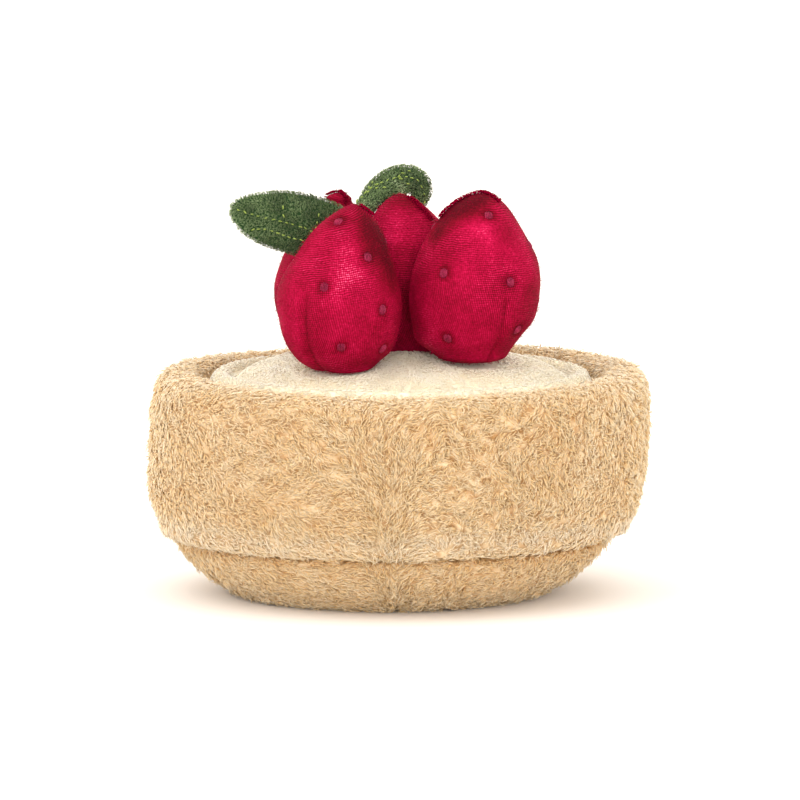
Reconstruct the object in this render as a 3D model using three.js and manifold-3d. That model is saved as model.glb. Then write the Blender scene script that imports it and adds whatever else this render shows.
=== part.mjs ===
// A plush strawberry tart: a stuffed crust band sewn round a bowl-shaped base, a cream top with a
// soft welt round its edge, four strawberries with embroidered seeds, and two stuffed leaves.
// Millimetres, +Z up. The origin is the middle of the underside, below the middle of the band.
// Directions round the tart are counted from +X towards +Y. The back seam of the band is at -Y.

import * as THREE from 'three';
import { mergeVertices } from 'three/addons/utils/BufferGeometryUtils.js';
import Module from 'manifold-3d';

const wasm = await Module();
wasm.setup();

const DEGREE = Math.PI / 180;
const contactGap = 0.3; // between pieces that touch

// ---- Driving dimensions -------------------------------------------------------------------

// Crust band: a fat ring that overhangs the base at its hem and rolls over at the rim.
const bandRadius = 99.6; // widest, low on the band
const rimHeight = 89.7; // mean height of the rim's crest
const rimRadius = 88; // radius of the crest
const hemHeight = 24.6; // the band's lower edge
const hemRadius = 87.5;
const wellRadius = 74.5; // the ring's inner wall, round the core
const bandSides = 80;
const bandOutlineSteps = 22;

// Base: a shallow bowl with a flat foot, and the core that fills the band.
const footRadius = 54.5;
const baseRadius = 86;
const coreTop = 78.6;
const baseSides = 48;

// Cream: a round cushion with a welt along its edge and a low dome inside it.
const creamRadius = 75.9;
const creamWeltRadius = 72;
const creamWeltHeight = 89.8;
const creamCreaseRadius = 66.3;
const creamCreaseHeight = 86.6;
const creamDomeHeight = 94.6;
const creamDomeDrop = 4.4; // how far the dome falls between its middle and its shoulder
const creamShoulderRadius = 60;
const creamTilt = 0.04; // the dome stands higher towards +Y
const creamSides = 48;

// The whole crust leans a little: its upper part sits further along +X than its foot.
const crustLean = 0.05;
const leanHeight = 55; // the level that stays where it is
const bandMiddle = [0.75, -0.45]; // middle of the uneven band's extent, from the axis it is drawn on

// The rim's crest rises and falls by a few harmonics: [waves round the rim, height, direction].
const rimWaves = [
  [1, 0.5, 47 * DEGREE],
  [2, 0.8, 16 * DEGREE],
  [3, 0.3, -57 * DEGREE],
];
// The band's wall swells and draws in a little round the tart: [waves, depth, direction].
const wallWaves = [
  [3, 0.5, 20 * DEGREE],
  [5, 0.35, 65 * DEGREE],
];
const seamAngle = -92.7 * DEGREE; // the band's closing seam
const seamDepth = 1.1;
const seamHalfWidth = 6; // degrees

// Strawberries: x, y and z of the bottom of the axis, radius, height, and how far the tip leans
// along x and y. Each seed is [angle round the axis from -Y towards +X, height as a share]. Each
// bulge is [angle, height, half width in degrees, half height as a share, how far it stands out].
const berryWidestAt = 0.42; // share of the height
const berrySides = 28;
const berryRings = 18;
const berryPress = 1.4; // how softly a berry flattens against its neighbour
const berries = [
  {
    name: 'berry_front_left', x: -23.2, y: -26, z: 90.0, radius: 24.8, height: 67.8,
    lean: [5.6, 2.0], blunt: 0.68, turn: 0,
    seeds: [[-31, 0.91], [27, 0.716], [-19, 0.55], [42, 0.41], [1.5, 0.195], [56, 0.17],
      [-100, 0.3], [-104, 0.66], [-140, 0.46], [92, 0.78], [112, 0.52], [-158, 0.8]],
    bulges: [[85, 0.66, 48, 0.2, -2.4], [85, 0.36, 45, 0.16, -0.9], [-80, 0.52, 40, 0.14, 1.6],
      [-60, 0.86, 50, 0.1, 0.8], [60, 0.09, 34, 0.035, -0.6], [40, 0, 50, 0.05, 3.8],
      [-50, 0, 45, 0.06, -1.5]],
  },
  {
    name: 'berry_front_right', x: 29.2, y: -12, z: 93.6, radius: 26.0, height: 67.1,
    lean: [3.8, 1.5], blunt: 0.55, turn: 0,
    seeds: [[15, 0.89], [-31, 0.56], [33.6, 0.506], [-27, 0.17], [52, 0.21], [96, 0.36],
      [88, 0.7], [128, 0.55], [118, 0.2], [150, 0.8], [166, 0.4], [-100, 0.8]],
    bulges: [[80, 0.83, 44, 0.14, -1.5], [80, 0.57, 44, 0.12, 0.7], [80, 0.14, 44, 0.08, -1.9],
      [-85, 0.94, 50, 0.06, 0.4], [-85, 0.13, 44, 0.07, 2.0], [0, 0, 200, 0.05, 3.8]],
  },
  {
    name: 'berry_middle', x: 6.5, y: 16, z: 91.0, radius: 24.6, height: 66.8,
    lean: [-5.8, 1.0], blunt: 0.66, turn: 10,
    seeds: [[110, 0.82], [132, 0.45], [160, 0.66], [178, 0.28], [-166, 0.86], [150, 0.16],
      [-150, 0.5]],
    bulges: [[0, 0, 200, 0.05, 3.0]],
  },
  {
    name: 'berry_rear_left', x: -24.8, y: 35, z: 90.2, radius: 25.2, height: 66.2,
    lean: [1.6, -0.5], blunt: 0.9, turn: -15,
    seeds: [[-72, 0.3], [-78, 0.72], [-118, 0.5], [-124, 0.18], [-150, 0.78], [-170, 0.34],
      [168, 0.6], [150, 0.2], [128, 0.46], [118, 0.78], [92, 0.26], [-30, 0.82]],
    bulges: [[0, 0.72, 200, 0.14, 0.8], [0, 0.9, 200, 0.03, -1.2], [-90, 0.92, 80, 0.035, -2.2],
      [0, 0.975, 200, 0.022, 1.8], [-90, 0.985, 70, 0.02, 1.6], [0, 0, 200, 0.05, 3.0]],
  },
];
const seedHalfWidth = 1.85;
const seedHalfLength = 2.25;
const seedHalfDepth = 1.2;
const seedSink = 0.5; // how far the middle of a seed lies below the velour
const clearOfPress = 0.3; // a seed is left out where the velour is pressed in further than this

// Leaves: points of the midrib from base to tip, and directions across the blade at even steps
// from base to tip.
const leafSides = 14;
const leafRings = 14;
const leaves = [
  {
    name: 'leaf_left', halfWidth: 12.8, halfThickness: 4.4,
    midrib: [[-8.8, -1.6, 137.8], [-20.5, -1, 142], [-38.4, -2, 147.2], [-55, -5, 150.7],
      [-67.2, -8, 154.2]],
    across: [[0.1, 0.1, 0.99], [0.2, 0.2, 0.96], [0.1, 0.3, 0.95]],
  },
  {
    name: 'leaf_curled', halfWidth: 6.8, halfThickness: 4.4,
    midrib: [[-20, 13.2, 139], [-17.4, 17, 146.2], [-12, 24.6, 152.8], [-6.8, 30.5, 157.4],
      [-2.2, 34, 160.3], [2.2, 36, 161.4], [6.6, 37, 160.6], [9, 37.4, 155.6], [5.4, 37.8, 146.5]],
    across: [[0.2, 1, 0], [0.1, 1, 0.1], [0, 0.7, 0.6], [0.1, 0.2, 1], [0.9, 0.1, 0.5]],
  },
];

const finishes = {
  crust: { color: 0xe6c294, roughness: 0.95, metalness: 0 },
  cream: { color: 0xf6e9cc, roughness: 0.95, metalness: 0 },
  berry: { color: 0xc2123f, roughness: 0.7, metalness: 0 },
  leaf: { color: 0x45663c, roughness: 0.95, metalness: 0 },
};

// ---- Helpers ------------------------------------------------------------------------------

const tart = new THREE.Group();

function addMesh(name, geometry, finish) {
  const mesh = new THREE.Mesh(geometry, new THREE.MeshStandardMaterial(finish));
  mesh.name = name;
  tart.add(mesh);
}

// Keeps the positions alone and joins the vertices that share a place.
function welded(geometry) {
  geometry.deleteAttribute('normal');
  geometry.deleteAttribute('uv');
  return mergeVertices(geometry, 1e-3);
}

// Moves every vertex of a geometry to where place(vertex) puts it.
function reshaped(geometry, place) {
  const positions = geometry.getAttribute('position');
  const vertex = new THREE.Vector3();
  for (let i = 0; i < positions.count; i += 1) {
    vertex.fromBufferAttribute(positions, i);
    place(vertex);
    positions.setXYZ(i, vertex.x, vertex.y, vertex.z);
  }
  return geometry;
}

// Turns an outline of [radius, height] points round the +Z axis.
function turned(outline, sides) {
  const points = outline.map(([radius, height]) => new THREE.Vector2(radius, height));
  return welded(new THREE.LatheGeometry(points, sides).rotateX(Math.PI / 2));
}

// A smooth closed outline through [radius, height] points.
function closedOutline(points, steps) {
  const corners = points.map(([radius, height]) => new THREE.Vector3(radius, height, 0));
  const curve = new THREE.CatmullRomCurve3(corners, true, 'centripetal');
  return curve.getSpacedPoints(steps).map((point) => [point.x, point.y]);
}

function waveSum(waves, angle) {
  const heights = waves.map(([count, size, direction]) => size * Math.cos(count * (angle - direction)));
  return heights.reduce((sum, height) => sum + height, 0);
}

function smoothStep(from, to, value) {
  const share = THREE.MathUtils.clamp((value - from) / (to - from), 0, 1);
  return share * share * (3 - 2 * share);
}

// Leans a place of the crust, and puts the middle of the band above the origin.
function lean(vertex) {
  vertex.x += crustLean * (vertex.z - leanHeight) - bandMiddle[0];
  vertex.y -= bandMiddle[1];
}

function toManifold(geometry) {
  const merged = welded(geometry.clone());
  return new wasm.Manifold(new wasm.Mesh({
    numProp: 3,
    vertProperties: merged.getAttribute('position').array,
    triVerts: new Uint32Array(merged.index.array),
  }));
}

function toGeometry(solid) {
  const { vertProperties, triVerts } = solid.getMesh();
  const geometry = new THREE.BufferGeometry();
  geometry.setAttribute('position', new THREE.BufferAttribute(vertProperties, 3));
  geometry.setIndex(new THREE.BufferAttribute(triVerts, 1));
  return geometry;
}

// ---- Crust --------------------------------------------------------------------------------

function crustBand() {
  const outline = closedOutline([
    [hemRadius, hemHeight],
    [92.6, hemHeight + 2],
    [95.8, 32.5],
    [98.3, 40],
    [bandRadius, 52],
    [bandRadius, 66],
    [99, 77],
    [97.2, 84.4],
    [93.4, 88.8],
    [rimRadius, rimHeight],
    [82.4, 88.6],
    [78.2, 84.4],
    [wellRadius + 1.9, 79.6],
    [wellRadius, 72],
    [wellRadius, 50],
    [wellRadius, 34],
    [wellRadius + 1, hemHeight + 2.2],
    [81, hemHeight + 0.6],
  ], bandOutlineSteps);
  return reshaped(turned(outline, bandSides), (vertex) => {
    const angle = Math.atan2(vertex.y, vertex.x);
    const radius = Math.hypot(vertex.x, vertex.y);
    const outer = smoothStep(wellRadius + 4, rimRadius, radius);
    const fromSeam = Math.abs(angle - seamAngle) / DEGREE / seamHalfWidth;
    const seam = seamDepth * Math.max(0, 1 - fromSeam) * smoothStep(rimHeight, 60, vertex.z);
    const swell = outer * (waveSum(wallWaves, angle) - seam);
    vertex.x += Math.cos(angle) * swell;
    vertex.y += Math.sin(angle) * swell;
    vertex.z += outer * waveSum(rimWaves, angle) * smoothStep(60, rimHeight, vertex.z);
    lean(vertex);
  });
}

function crustBase() {
  const hemTop = hemHeight + 0.1;
  const outline = [
    [0, 0],
    [footRadius, 0],
    [59.4, 0.8],
    [65, 2.9],
    [70.6, 5.8],
    [75.4, 9],
    [80, 13],
    [83.6, 17.6],
    [baseRadius - 0.2, 21.6],
    [baseRadius - 0.9, hemHeight - 1.1],
    [wellRadius, hemTop - 0.6],
    [wellRadius - 0.5, hemTop + 1.6],
    [wellRadius - contactGap - 0.2, 34],
    [wellRadius - contactGap - 0.2, 72],
    [wellRadius - contactGap - 0.2, coreTop],
    [0, coreTop],
  ];
  return reshaped(turned(outline, baseSides), lean);
}

// ---- Cream --------------------------------------------------------------------------------

// Height of the cream's dome above the underside of the tart, at a place on the upright tart.
function domeHeight(x, y) {
  const share = Math.hypot(x, y) / creamShoulderRadius;
  return creamDomeHeight - creamDomeDrop * share ** 4 + creamTilt * y;
}

function cream() {
  const dome = [0, 0.25, 0.5, 0.75, 0.9].map((share) => [
    share * creamShoulderRadius,
    domeHeight(share * creamShoulderRadius, 0),
  ]);
  const outline = [
    [0, coreTop + contactGap],
    [wellRadius - 0.7, coreTop + contactGap],
    [creamRadius - 0.9, 81],
    [creamRadius, 84.4],
    [creamRadius - 0.8, 87.8],
    [creamWeltRadius, creamWeltHeight],
    [creamCreaseRadius + 2.4, creamWeltHeight - 1],
    [creamCreaseRadius, creamCreaseHeight],
    [creamShoulderRadius + 2.6, 88.9],
    ...dome.reverse(),
  ];
  return reshaped(turned(outline, creamSides), (vertex) => {
    const radius = Math.hypot(vertex.x, vertex.y);
    const raised = smoothStep(creamCreaseRadius, creamShoulderRadius, radius) * smoothStep(82, 88, vertex.z);
    vertex.z += creamTilt * vertex.y * raised;
    lean(vertex);
  });
}

// ---- Strawberries ---------------------------------------------------------------------------

// Share of the full radius at a share of the height: a round bottom and a blunt tapering tip.
function berryTaper(height, blunt) {
  if (height < berryWidestAt) {
    const below = (berryWidestAt - height) / berryWidestAt;
    return Math.max(0, 1 - below ** 2.2) ** 0.45;
  }
  const above = (height - berryWidestAt) / (1 - berryWidestAt);
  return Math.max(0, 1 - above ** 1.7) ** blunt;
}

// Presses a place on one berry back from the upright planes that part it from the others.
function press(place, berry) {
  for (const other of berries) {
    if (other === berry) continue;
    const away = new THREE.Vector2(other.x - berry.x, other.y - berry.y);
    const distance = away.length();
    away.divideScalar(distance);
    const reach = distance * berry.radius / (berry.radius + other.radius) - contactGap / 2;
    const along = (place.x - berry.x) * away.x + (place.y - berry.y) * away.y;
    const kept = -berryPress * Math.log1p(Math.exp((reach - along) / berryPress));
    place.x += away.x * (reach + kept - along);
    place.y += away.y * (reach + kept - along);
  }
}

// Lifts a place that would sink into the cream, so that the berry sits flat on it.
function seat(place) {
  const x = place.x - crustLean * (creamDomeHeight - leanHeight) + bandMiddle[0];
  const y = place.y + bandMiddle[1];
  place.z = Math.max(place.z, domeHeight(x, y) + contactGap);
}

// How far a berry's bulges move a place on it outwards.
function fullness(berry, angle, height) {
  return berry.bulges.reduce((sum, [middle, level, wide, tall, out]) => {
    const around = THREE.MathUtils.euclideanModulo(angle / DEGREE - middle + 180, 360) - 180;
    const away = (around / wide) ** 2 + ((height - level) / tall) ** 2;
    return sum + out * Math.exp(-(away ** 1.3));
  }, 0);
}

// A place on a berry that nothing presses: angle from -Y towards +X, height as a share.
function freePoint(berry, angle, height, swell = 0) {
  const radius = berry.radius * berryTaper(height, berry.blunt) + swell;
  return new THREE.Vector3(
    berry.x + berry.lean[0] * height ** 2 + radius * Math.sin(angle),
    berry.y + berry.lean[1] * height ** 2 - radius * Math.cos(angle),
    berry.z + berry.height * height,
  );
}

// The same place on the velour, between the neighbours and on the cream.
function berryPoint(berry, angle, height, swell = fullness(berry, angle, height)) {
  const place = freePoint(berry, angle, height, swell);
  press(place, berry);
  seat(place);
  return place;
}

// Whether a seed at a place stands clear of what presses on the berry.
function isClear(berry, [angle, height]) {
  const free = freePoint(berry, angle * DEGREE, height);
  return free.distanceTo(berryPoint(berry, angle * DEGREE, height, 0)) < clearOfPress;
}

function berryBody(berry) {
  return reshaped(welded(new THREE.SphereGeometry(1, berrySides, berryRings)), (vertex) => {
    const angle = Math.atan2(vertex.x, vertex.z) + berry.turn * DEGREE;
    vertex.copy(berryPoint(berry, angle, (vertex.y + 1) / 2));
  });
}

// A flat stitched seed, lying on the velour at one place.
function seed(berry, [angle, height]) {
  const place = berryPoint(berry, angle * DEGREE, height);
  const above = berryPoint(berry, angle * DEGREE, height + 0.01);
  const beside = berryPoint(berry, angle * DEGREE + 0.02, height);
  const up = above.sub(place).normalize();
  const outward = beside.sub(place).cross(up).normalize();
  const across = new THREE.Vector3().crossVectors(up, outward);
  const stitch = new THREE.SphereGeometry(1, 7, 4).scale(seedHalfWidth, seedHalfLength, seedHalfDepth);
  stitch.applyMatrix4(new THREE.Matrix4().makeBasis(across, up, outward));
  const middle = place.clone().addScaledVector(outward, -seedSink);
  return stitch.translate(middle.x, middle.y, middle.z);
}

function strawberry(berry) {
  const body = toManifold(berryBody(berry));
  const spots = berry.seeds.filter((spot) => isClear(berry, spot));
  const seeds = spots.map((spot) => toManifold(seed(berry, spot)));
  return toGeometry(seeds.reduce((joined, next) => joined.add(next), body));
}

// ---- Leaves -------------------------------------------------------------------------------

// A stuffed blade along a curved midrib: its rings are flat ellipses, its ends close to a point.
function leaf(shape) {
  const midrib = new THREE.CatmullRomCurve3(shape.midrib.map((point) => new THREE.Vector3(...point)));
  const across = new THREE.CatmullRomCurve3(shape.across.map((way) => new THREE.Vector3(...way)));
  return reshaped(welded(new THREE.SphereGeometry(1, leafSides, leafRings)), (vertex) => {
    const along = THREE.MathUtils.clamp((1 - vertex.y) / 2, 0, 1);
    const middle = midrib.getPointAt(along);
    const tangent = midrib.getTangentAt(along);
    const width = across.getPoint(along);
    width.addScaledVector(tangent, -width.dot(tangent)).normalize();
    const face = new THREE.Vector3().crossVectors(tangent, width);
    const { x, z } = vertex;
    vertex.copy(middle)
      .addScaledVector(width, x * shape.halfWidth)
      .addScaledVector(face, z * shape.halfThickness);
  });
}

// ---- The tart -----------------------------------------------------------------------------

addMesh('crust_band', crustBand(), finishes.crust);
addMesh('crust_base', crustBase(), finishes.crust);
addMesh('cream_filling', cream(), finishes.cream);
for (const berry of berries) addMesh(berry.name, strawberry(berry), finishes.berry);
for (const shape of leaves) addMesh(shape.name, leaf(shape), finishes.leaf);

export default tart;
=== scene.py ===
"""A plush strawberry tart: a shaggy crust, a cream top, velour strawberries and stuffed leaves.

Sizes are in millimetres, Z up, with the origin under the middle of the crust band. Finished meshes
are in metres. Directions round the tart are counted from +X towards +Y.
"""

import logging
import math
from dataclasses import dataclass, field
from enum import Enum
from typing import Callable, Iterable, Sequence

import bmesh
import bpy
import numpy as np
from mathutils import Matrix, Vector
from mathutils.kdtree import KDTree


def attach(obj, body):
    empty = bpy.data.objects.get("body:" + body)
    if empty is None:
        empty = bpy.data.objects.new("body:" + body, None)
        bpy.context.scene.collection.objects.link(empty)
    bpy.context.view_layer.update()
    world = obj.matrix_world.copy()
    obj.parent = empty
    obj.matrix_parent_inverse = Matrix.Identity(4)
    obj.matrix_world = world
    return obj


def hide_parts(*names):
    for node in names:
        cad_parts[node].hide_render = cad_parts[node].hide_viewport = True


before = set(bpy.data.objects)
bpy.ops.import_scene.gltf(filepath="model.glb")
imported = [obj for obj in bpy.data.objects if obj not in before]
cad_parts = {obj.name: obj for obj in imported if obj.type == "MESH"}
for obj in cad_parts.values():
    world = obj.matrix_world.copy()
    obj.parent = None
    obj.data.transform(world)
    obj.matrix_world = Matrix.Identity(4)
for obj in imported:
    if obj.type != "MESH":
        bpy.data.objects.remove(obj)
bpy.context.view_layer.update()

LOG = logging.getLogger("tart")
MM = 0.001
TURN = 2 * math.pi
BODY = "root"
STRAND_MAP = "OFBake"  # U is a strand's tone, V runs from its root to its tip
WEAVE_MAP = "weave"  # millimetres round and up a strawberry
CONTACT_GAP = 0.3

Colour = tuple[float, float, float, float]
Array = np.ndarray


# ---- Small helpers -------------------------------------------------------------------------


def colour(code: str) -> Colour:
    """Turn a colour code into scene-linear values.

    Args:
        code: six hexadecimal digits, display-referred.

    Returns:
        Red, green, blue and alpha.
    """
    parts = [int(code[i : i + 2], 16) / 255 for i in (0, 2, 4)]
    linear = [p / 12.92 if p <= 0.04045 else ((p + 0.055) / 1.055) ** 2.4 for p in parts]
    return (*linear, 1.0)


def smooth_step(low: float, high: float, value: Array) -> Array:
    """Rise from 0 to 1 between two values.

    Args:
        low: where the rise starts; it may lie above high.
        high: where it ends.
        value: the values to place.

    Returns:
        The share of the rise at each value.
    """
    share = np.clip((np.asarray(value, dtype=float) - low) / (high - low), 0, 1)
    return share * share * (3 - 2 * share)


def unit(vectors: Array) -> Array:
    """Return the vectors at length 1."""
    return vectors / np.maximum(np.linalg.norm(vectors, axis=-1, keepdims=True), 1e-9)


def round_axis(places: Array) -> tuple[Array, Array]:
    """Return the directions of places round the Z axis, in radians, and how far out they are."""
    return np.arctan2(places[:, 1], places[:, 0]), np.hypot(places[:, 0], places[:, 1])


def half_turn(angle: Array) -> Array:
    """Return angles in radians as the same directions within half a turn of 0."""
    return (angle + math.pi) % TURN - math.pi


def wave_sum(waves: Sequence[tuple[float, float, float]], angle: Array) -> Array:
    """Add up harmonics round the tart.

    Args:
        waves: for each, its count round the tart, its size and its direction in degrees.
        angle: directions in radians.

    Returns:
        The sum at each angle.
    """
    return sum(size * np.cos(count * (angle - math.radians(way))) for count, size, way in waves)


class WaveField:
    """A smooth random field in space, mostly within -1 and 1."""

    def __init__(self, seed: int, length: float, waves: int = 22) -> None:
        """Draw the plane waves.

        Args:
            seed: seed of the draw.
            length: their mean length in millimetres.
            waves: how many there are.
        """
        draw = np.random.default_rng(seed)
        steps = unit(draw.normal(size=(waves, 3)))
        self.steps = (steps * TURN / (length * draw.uniform(0.7, 1.7, (waves, 1)))).astype(np.float32)
        self.phases = draw.uniform(0, TURN, waves).astype(np.float32)

    def at(self, places: Array) -> Array:
        """Return the field's value at each place."""
        swing = places.astype(np.float32) @ self.steps.T + self.phases
        return np.cos(swing).sum(axis=1).astype(float) / math.sqrt(len(self.phases))


class SmoothPath:
    """A curve with even speed through a few points."""

    near = 0.004  # share of the length over which a heading is taken

    def __init__(self, points: Sequence[Sequence[float]], closed: bool = False, fine: int = 40) -> None:
        """Work out the curve.

        Args:
            points: the points that it passes through.
            closed: whether it returns to the first of them.
            fine: steps between two of them.
        """
        knots = np.array(points, dtype=float)
        if closed:
            knots = np.vstack([knots[-1:], knots, knots[:2]])
        else:
            knots = np.vstack([2 * knots[0] - knots[1], knots, 2 * knots[-1] - knots[-2]])
        runs = [self._span(knots[i : i + 4], fine) for i in range(len(knots) - 3)]
        self.places = np.vstack([*runs, knots[-2:-1]])
        steps = np.linalg.norm(np.diff(self.places, axis=0), axis=1)
        self.shares = np.concatenate([[0], np.cumsum(steps)])
        self.shares /= self.shares[-1]

    @staticmethod
    def _span(knots: Array, fine: int) -> Array:
        """Run between the middle two of four knots.

        Args:
            knots: the four.
            fine: steps of the run.

        Returns:
            The places, without the last.
        """
        gaps = np.maximum(np.linalg.norm(np.diff(knots, axis=0), axis=1) ** 0.5, 1e-4)
        first, second, third, last = knots
        out = (second - first) / gaps[0] - (third - first) / (gaps[0] + gaps[1]) + (third - second) / gaps[1]
        into = (third - second) / gaps[1] - (last - second) / (gaps[1] + gaps[2]) + (last - third) / gaps[2]
        out, into = out * gaps[1], into * gaps[1]
        t = np.linspace(0, 1, fine, endpoint=False)[:, None]
        bend = -3 * second + 3 * third - 2 * out - into
        return second + out * t + bend * t**2 + (2 * second - 2 * third + out + into) * t**3

    def at(self, share: Array) -> Array:
        """Return the places at shares of the length."""
        share = np.clip(np.asarray(share, dtype=float), 0, 1)
        return np.stack([np.interp(share, self.shares, axis) for axis in self.places.T], axis=-1)

    def by_step(self, share: Array) -> Array:
        """Return the places at shares of the count of points."""
        steps = np.linspace(0, 1, len(self.places))
        return np.stack([np.interp(share, steps, axis) for axis in self.places.T], axis=-1)

    def heading(self, share: Array) -> Array:
        """Return the directions at shares of the length."""
        share = np.clip(np.asarray(share, dtype=float), self.near, 1 - self.near)
        return unit(self.at(share + self.near) - self.at(share - self.near))


# ---- Materials -----------------------------------------------------------------------------


class Shader:
    """A material's nodes, added and linked in order."""

    def __init__(self, name: str) -> None:
        """Start a material with its surface shader.

        Args:
            name: the material's name.
        """
        self.material = bpy.data.materials.new(name)
        self.material.use_nodes = True
        self.nodes = self.material.node_tree.nodes
        self.surface = self.nodes["Principled BSDF"]

    def add(self, kind: str, **settings: object) -> bpy.types.Node:
        """Add a node.

        Args:
            kind: the node's type, without its ShaderNode prefix.
            **settings: properties of the node, or values of its inputs as _0, _1 and so on.

        Returns:
            The node.
        """
        node = self.nodes.new("ShaderNode" + kind)
        for key, value in settings.items():
            if key.startswith("_"):
                self.feed(node.inputs[int(key[1:])], value)
            else:
                setattr(node, key, value)
        return node

    def feed(self, socket: bpy.types.NodeSocket, value: object) -> None:
        """Link an output to a socket, or set the socket's value.

        Args:
            socket: the input that takes it.
            value: an output, or a plain value.
        """
        if isinstance(value, bpy.types.NodeSocket):
            self.material.node_tree.links.new(value, socket)
        else:
            socket.default_value = value

    def maths(
        self, operation: str, first: object, second: object = 0.0, third: object = 0.0
    ) -> bpy.types.NodeSocket:
        """Add a sum.

        Args:
            operation: the Math node's operation.
            first: its first value or output.
            second: its second.
            third: its third.

        Returns:
            The result's output.
        """
        return self.add("Math", operation=operation, _0=first, _1=second, _2=third).outputs[0]

    def ramp(self, share: bpy.types.NodeSocket, stops: Sequence[tuple[float, str]]) -> bpy.types.NodeSocket:
        """Add a colour ramp.

        Args:
            share: the output that drives it.
            stops: for each stop, its place and its colour code.

        Returns:
            The colour's output.
        """
        node = self.add("ValToRGB", _0=share)
        elements = node.color_ramp.elements
        elements.remove(elements[1])
        elements[0].position, elements[0].color = stops[0][0], colour(stops[0][1])
        for place, code in stops[1:]:
            elements.new(place).color = colour(code)
        return node.outputs[0]

    def paint(self, share: bpy.types.NodeSocket, stops: Sequence[tuple[float, str]]) -> None:
        """Colour the surface by a ramp."""
        self.feed(self.surface.inputs["Base Color"], self.ramp(share, stops))

    def stored(self, name: str) -> bpy.types.NodeSocket:
        """Return the output of a value that the vertices store."""
        return self.add("Attribute", attribute_name=name).outputs["Fac"]

    def swayed(self, share: object, value: object, by: float) -> bpy.types.NodeSocket:
        """Return a share to which a value's distance from 0.5 is added, times a factor."""
        return self.maths("MULTIPLY_ADD", self.maths("SUBTRACT", value, 0.5), by, share)

    def noise(self, size: float, detail: float) -> bpy.types.NodeSocket:
        """Add a noise pattern on the piece's coordinates.

        Args:
            size: the pattern's size in millimetres.
            detail: how many finer patterns it holds.

        Returns:
            The value's output.
        """
        node = self.add("TexNoise")
        self.feed(node.inputs["Vector"], self.add("TexCoord").outputs["Object"])
        self.feed(node.inputs["Scale"], 1000 / size)
        self.feed(node.inputs["Detail"], detail)
        return node.outputs["Fac"]

    def mottle(self, patches: float, flecks: float, share: float) -> bpy.types.NodeSocket:
        """Place the shared cloth mottle.

        Args:
            patches: size of the large patches in millimetres.
            flecks: size of the small flecks.
            share: how much the flecks count, from 0 to 1.

        Returns:
            A value about 0.5.
        """
        node = self.add("Group", node_tree=mottle_group())
        self.feed(node.inputs["Patch Scale"], 1000 / patches)
        self.feed(node.inputs["Fleck Scale"], 1000 / flecks)
        self.feed(node.inputs["Fleck Share"], share)
        return node.outputs["Value"]

    def bump(self, height: object, depth: float) -> None:
        """Raise the surface's normal by a height.

        Args:
            height: the pattern's output, from 0 to 1.
            depth: its depth in millimetres.
        """
        node = self.add("Bump")
        self.feed(node.inputs["Height"], height)
        node.inputs["Distance"].default_value = depth * MM
        self.feed(self.surface.inputs["Normal"], node.outputs["Normal"])

    def cloth(self, roughness: float, sheen: float, tint: str, specular: float = 0.2) -> None:
        """Set what is the same all over a cloth.

        Args:
            roughness: of its surface.
            sheen: weight of its soft edge light.
            tint: the sheen's colour code.
            specular: level of its gloss.
        """
        self.surface.inputs["Roughness"].default_value = roughness
        self.surface.inputs["Sheen Weight"].default_value = sheen
        self.surface.inputs["Sheen Roughness"].default_value = 0.4
        self.surface.inputs["Sheen Tint"].default_value = colour(tint)
        self.surface.inputs["Specular IOR Level"].default_value = specular

    def glow(self, weight: float, reach: float = 0.8) -> None:
        """Let light through the fibres.

        Args:
            weight: how much of it, from 0 to 1.
            reach: how far it spreads in millimetres.
        """
        self.surface.inputs["Subsurface Weight"].default_value = weight
        self.surface.inputs["Subsurface Radius"].default_value = (1.0, 1.0, 1.0)
        self.surface.inputs["Subsurface Scale"].default_value = reach * MM


def mottle_group() -> bpy.types.NodeTree:
    """Make the node group that mottles a cloth with large patches and small flecks.

    Returns:
        The group, made the first time.
    """
    name = "cloth_mottle"
    if name in bpy.data.node_groups:
        return bpy.data.node_groups[name]
    tree = bpy.data.node_groups.new(name, "ShaderNodeTree")
    for label, value in (("Patch Scale", 40.0), ("Fleck Scale", 400.0), ("Fleck Share", 0.4)):
        socket = tree.interface.new_socket(label, in_out="INPUT", socket_type="NodeSocketFloat")
        socket.default_value = value
    tree.interface.new_socket("Value", in_out="OUTPUT", socket_type="NodeSocketFloat")
    inside = tree.nodes.new("NodeGroupInput")
    outside = tree.nodes.new("NodeGroupOutput")
    place = tree.nodes.new("ShaderNodeTexCoord")
    mix = tree.nodes.new("ShaderNodeMix")
    tree.links.new(inside.outputs["Fleck Share"], mix.inputs[0])
    for slot, label in ((2, "Patch Scale"), (3, "Fleck Scale")):
        noise = tree.nodes.new("ShaderNodeTexNoise")
        noise.inputs["Detail"].default_value = 2.5
        tree.links.new(place.outputs["Object"], noise.inputs["Vector"])
        tree.links.new(inside.outputs[label], noise.inputs["Scale"])
        tree.links.new(noise.outputs["Fac"], mix.inputs[slot])
    tree.links.new(mix.outputs[0], outside.inputs["Value"])
    return tree


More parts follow.
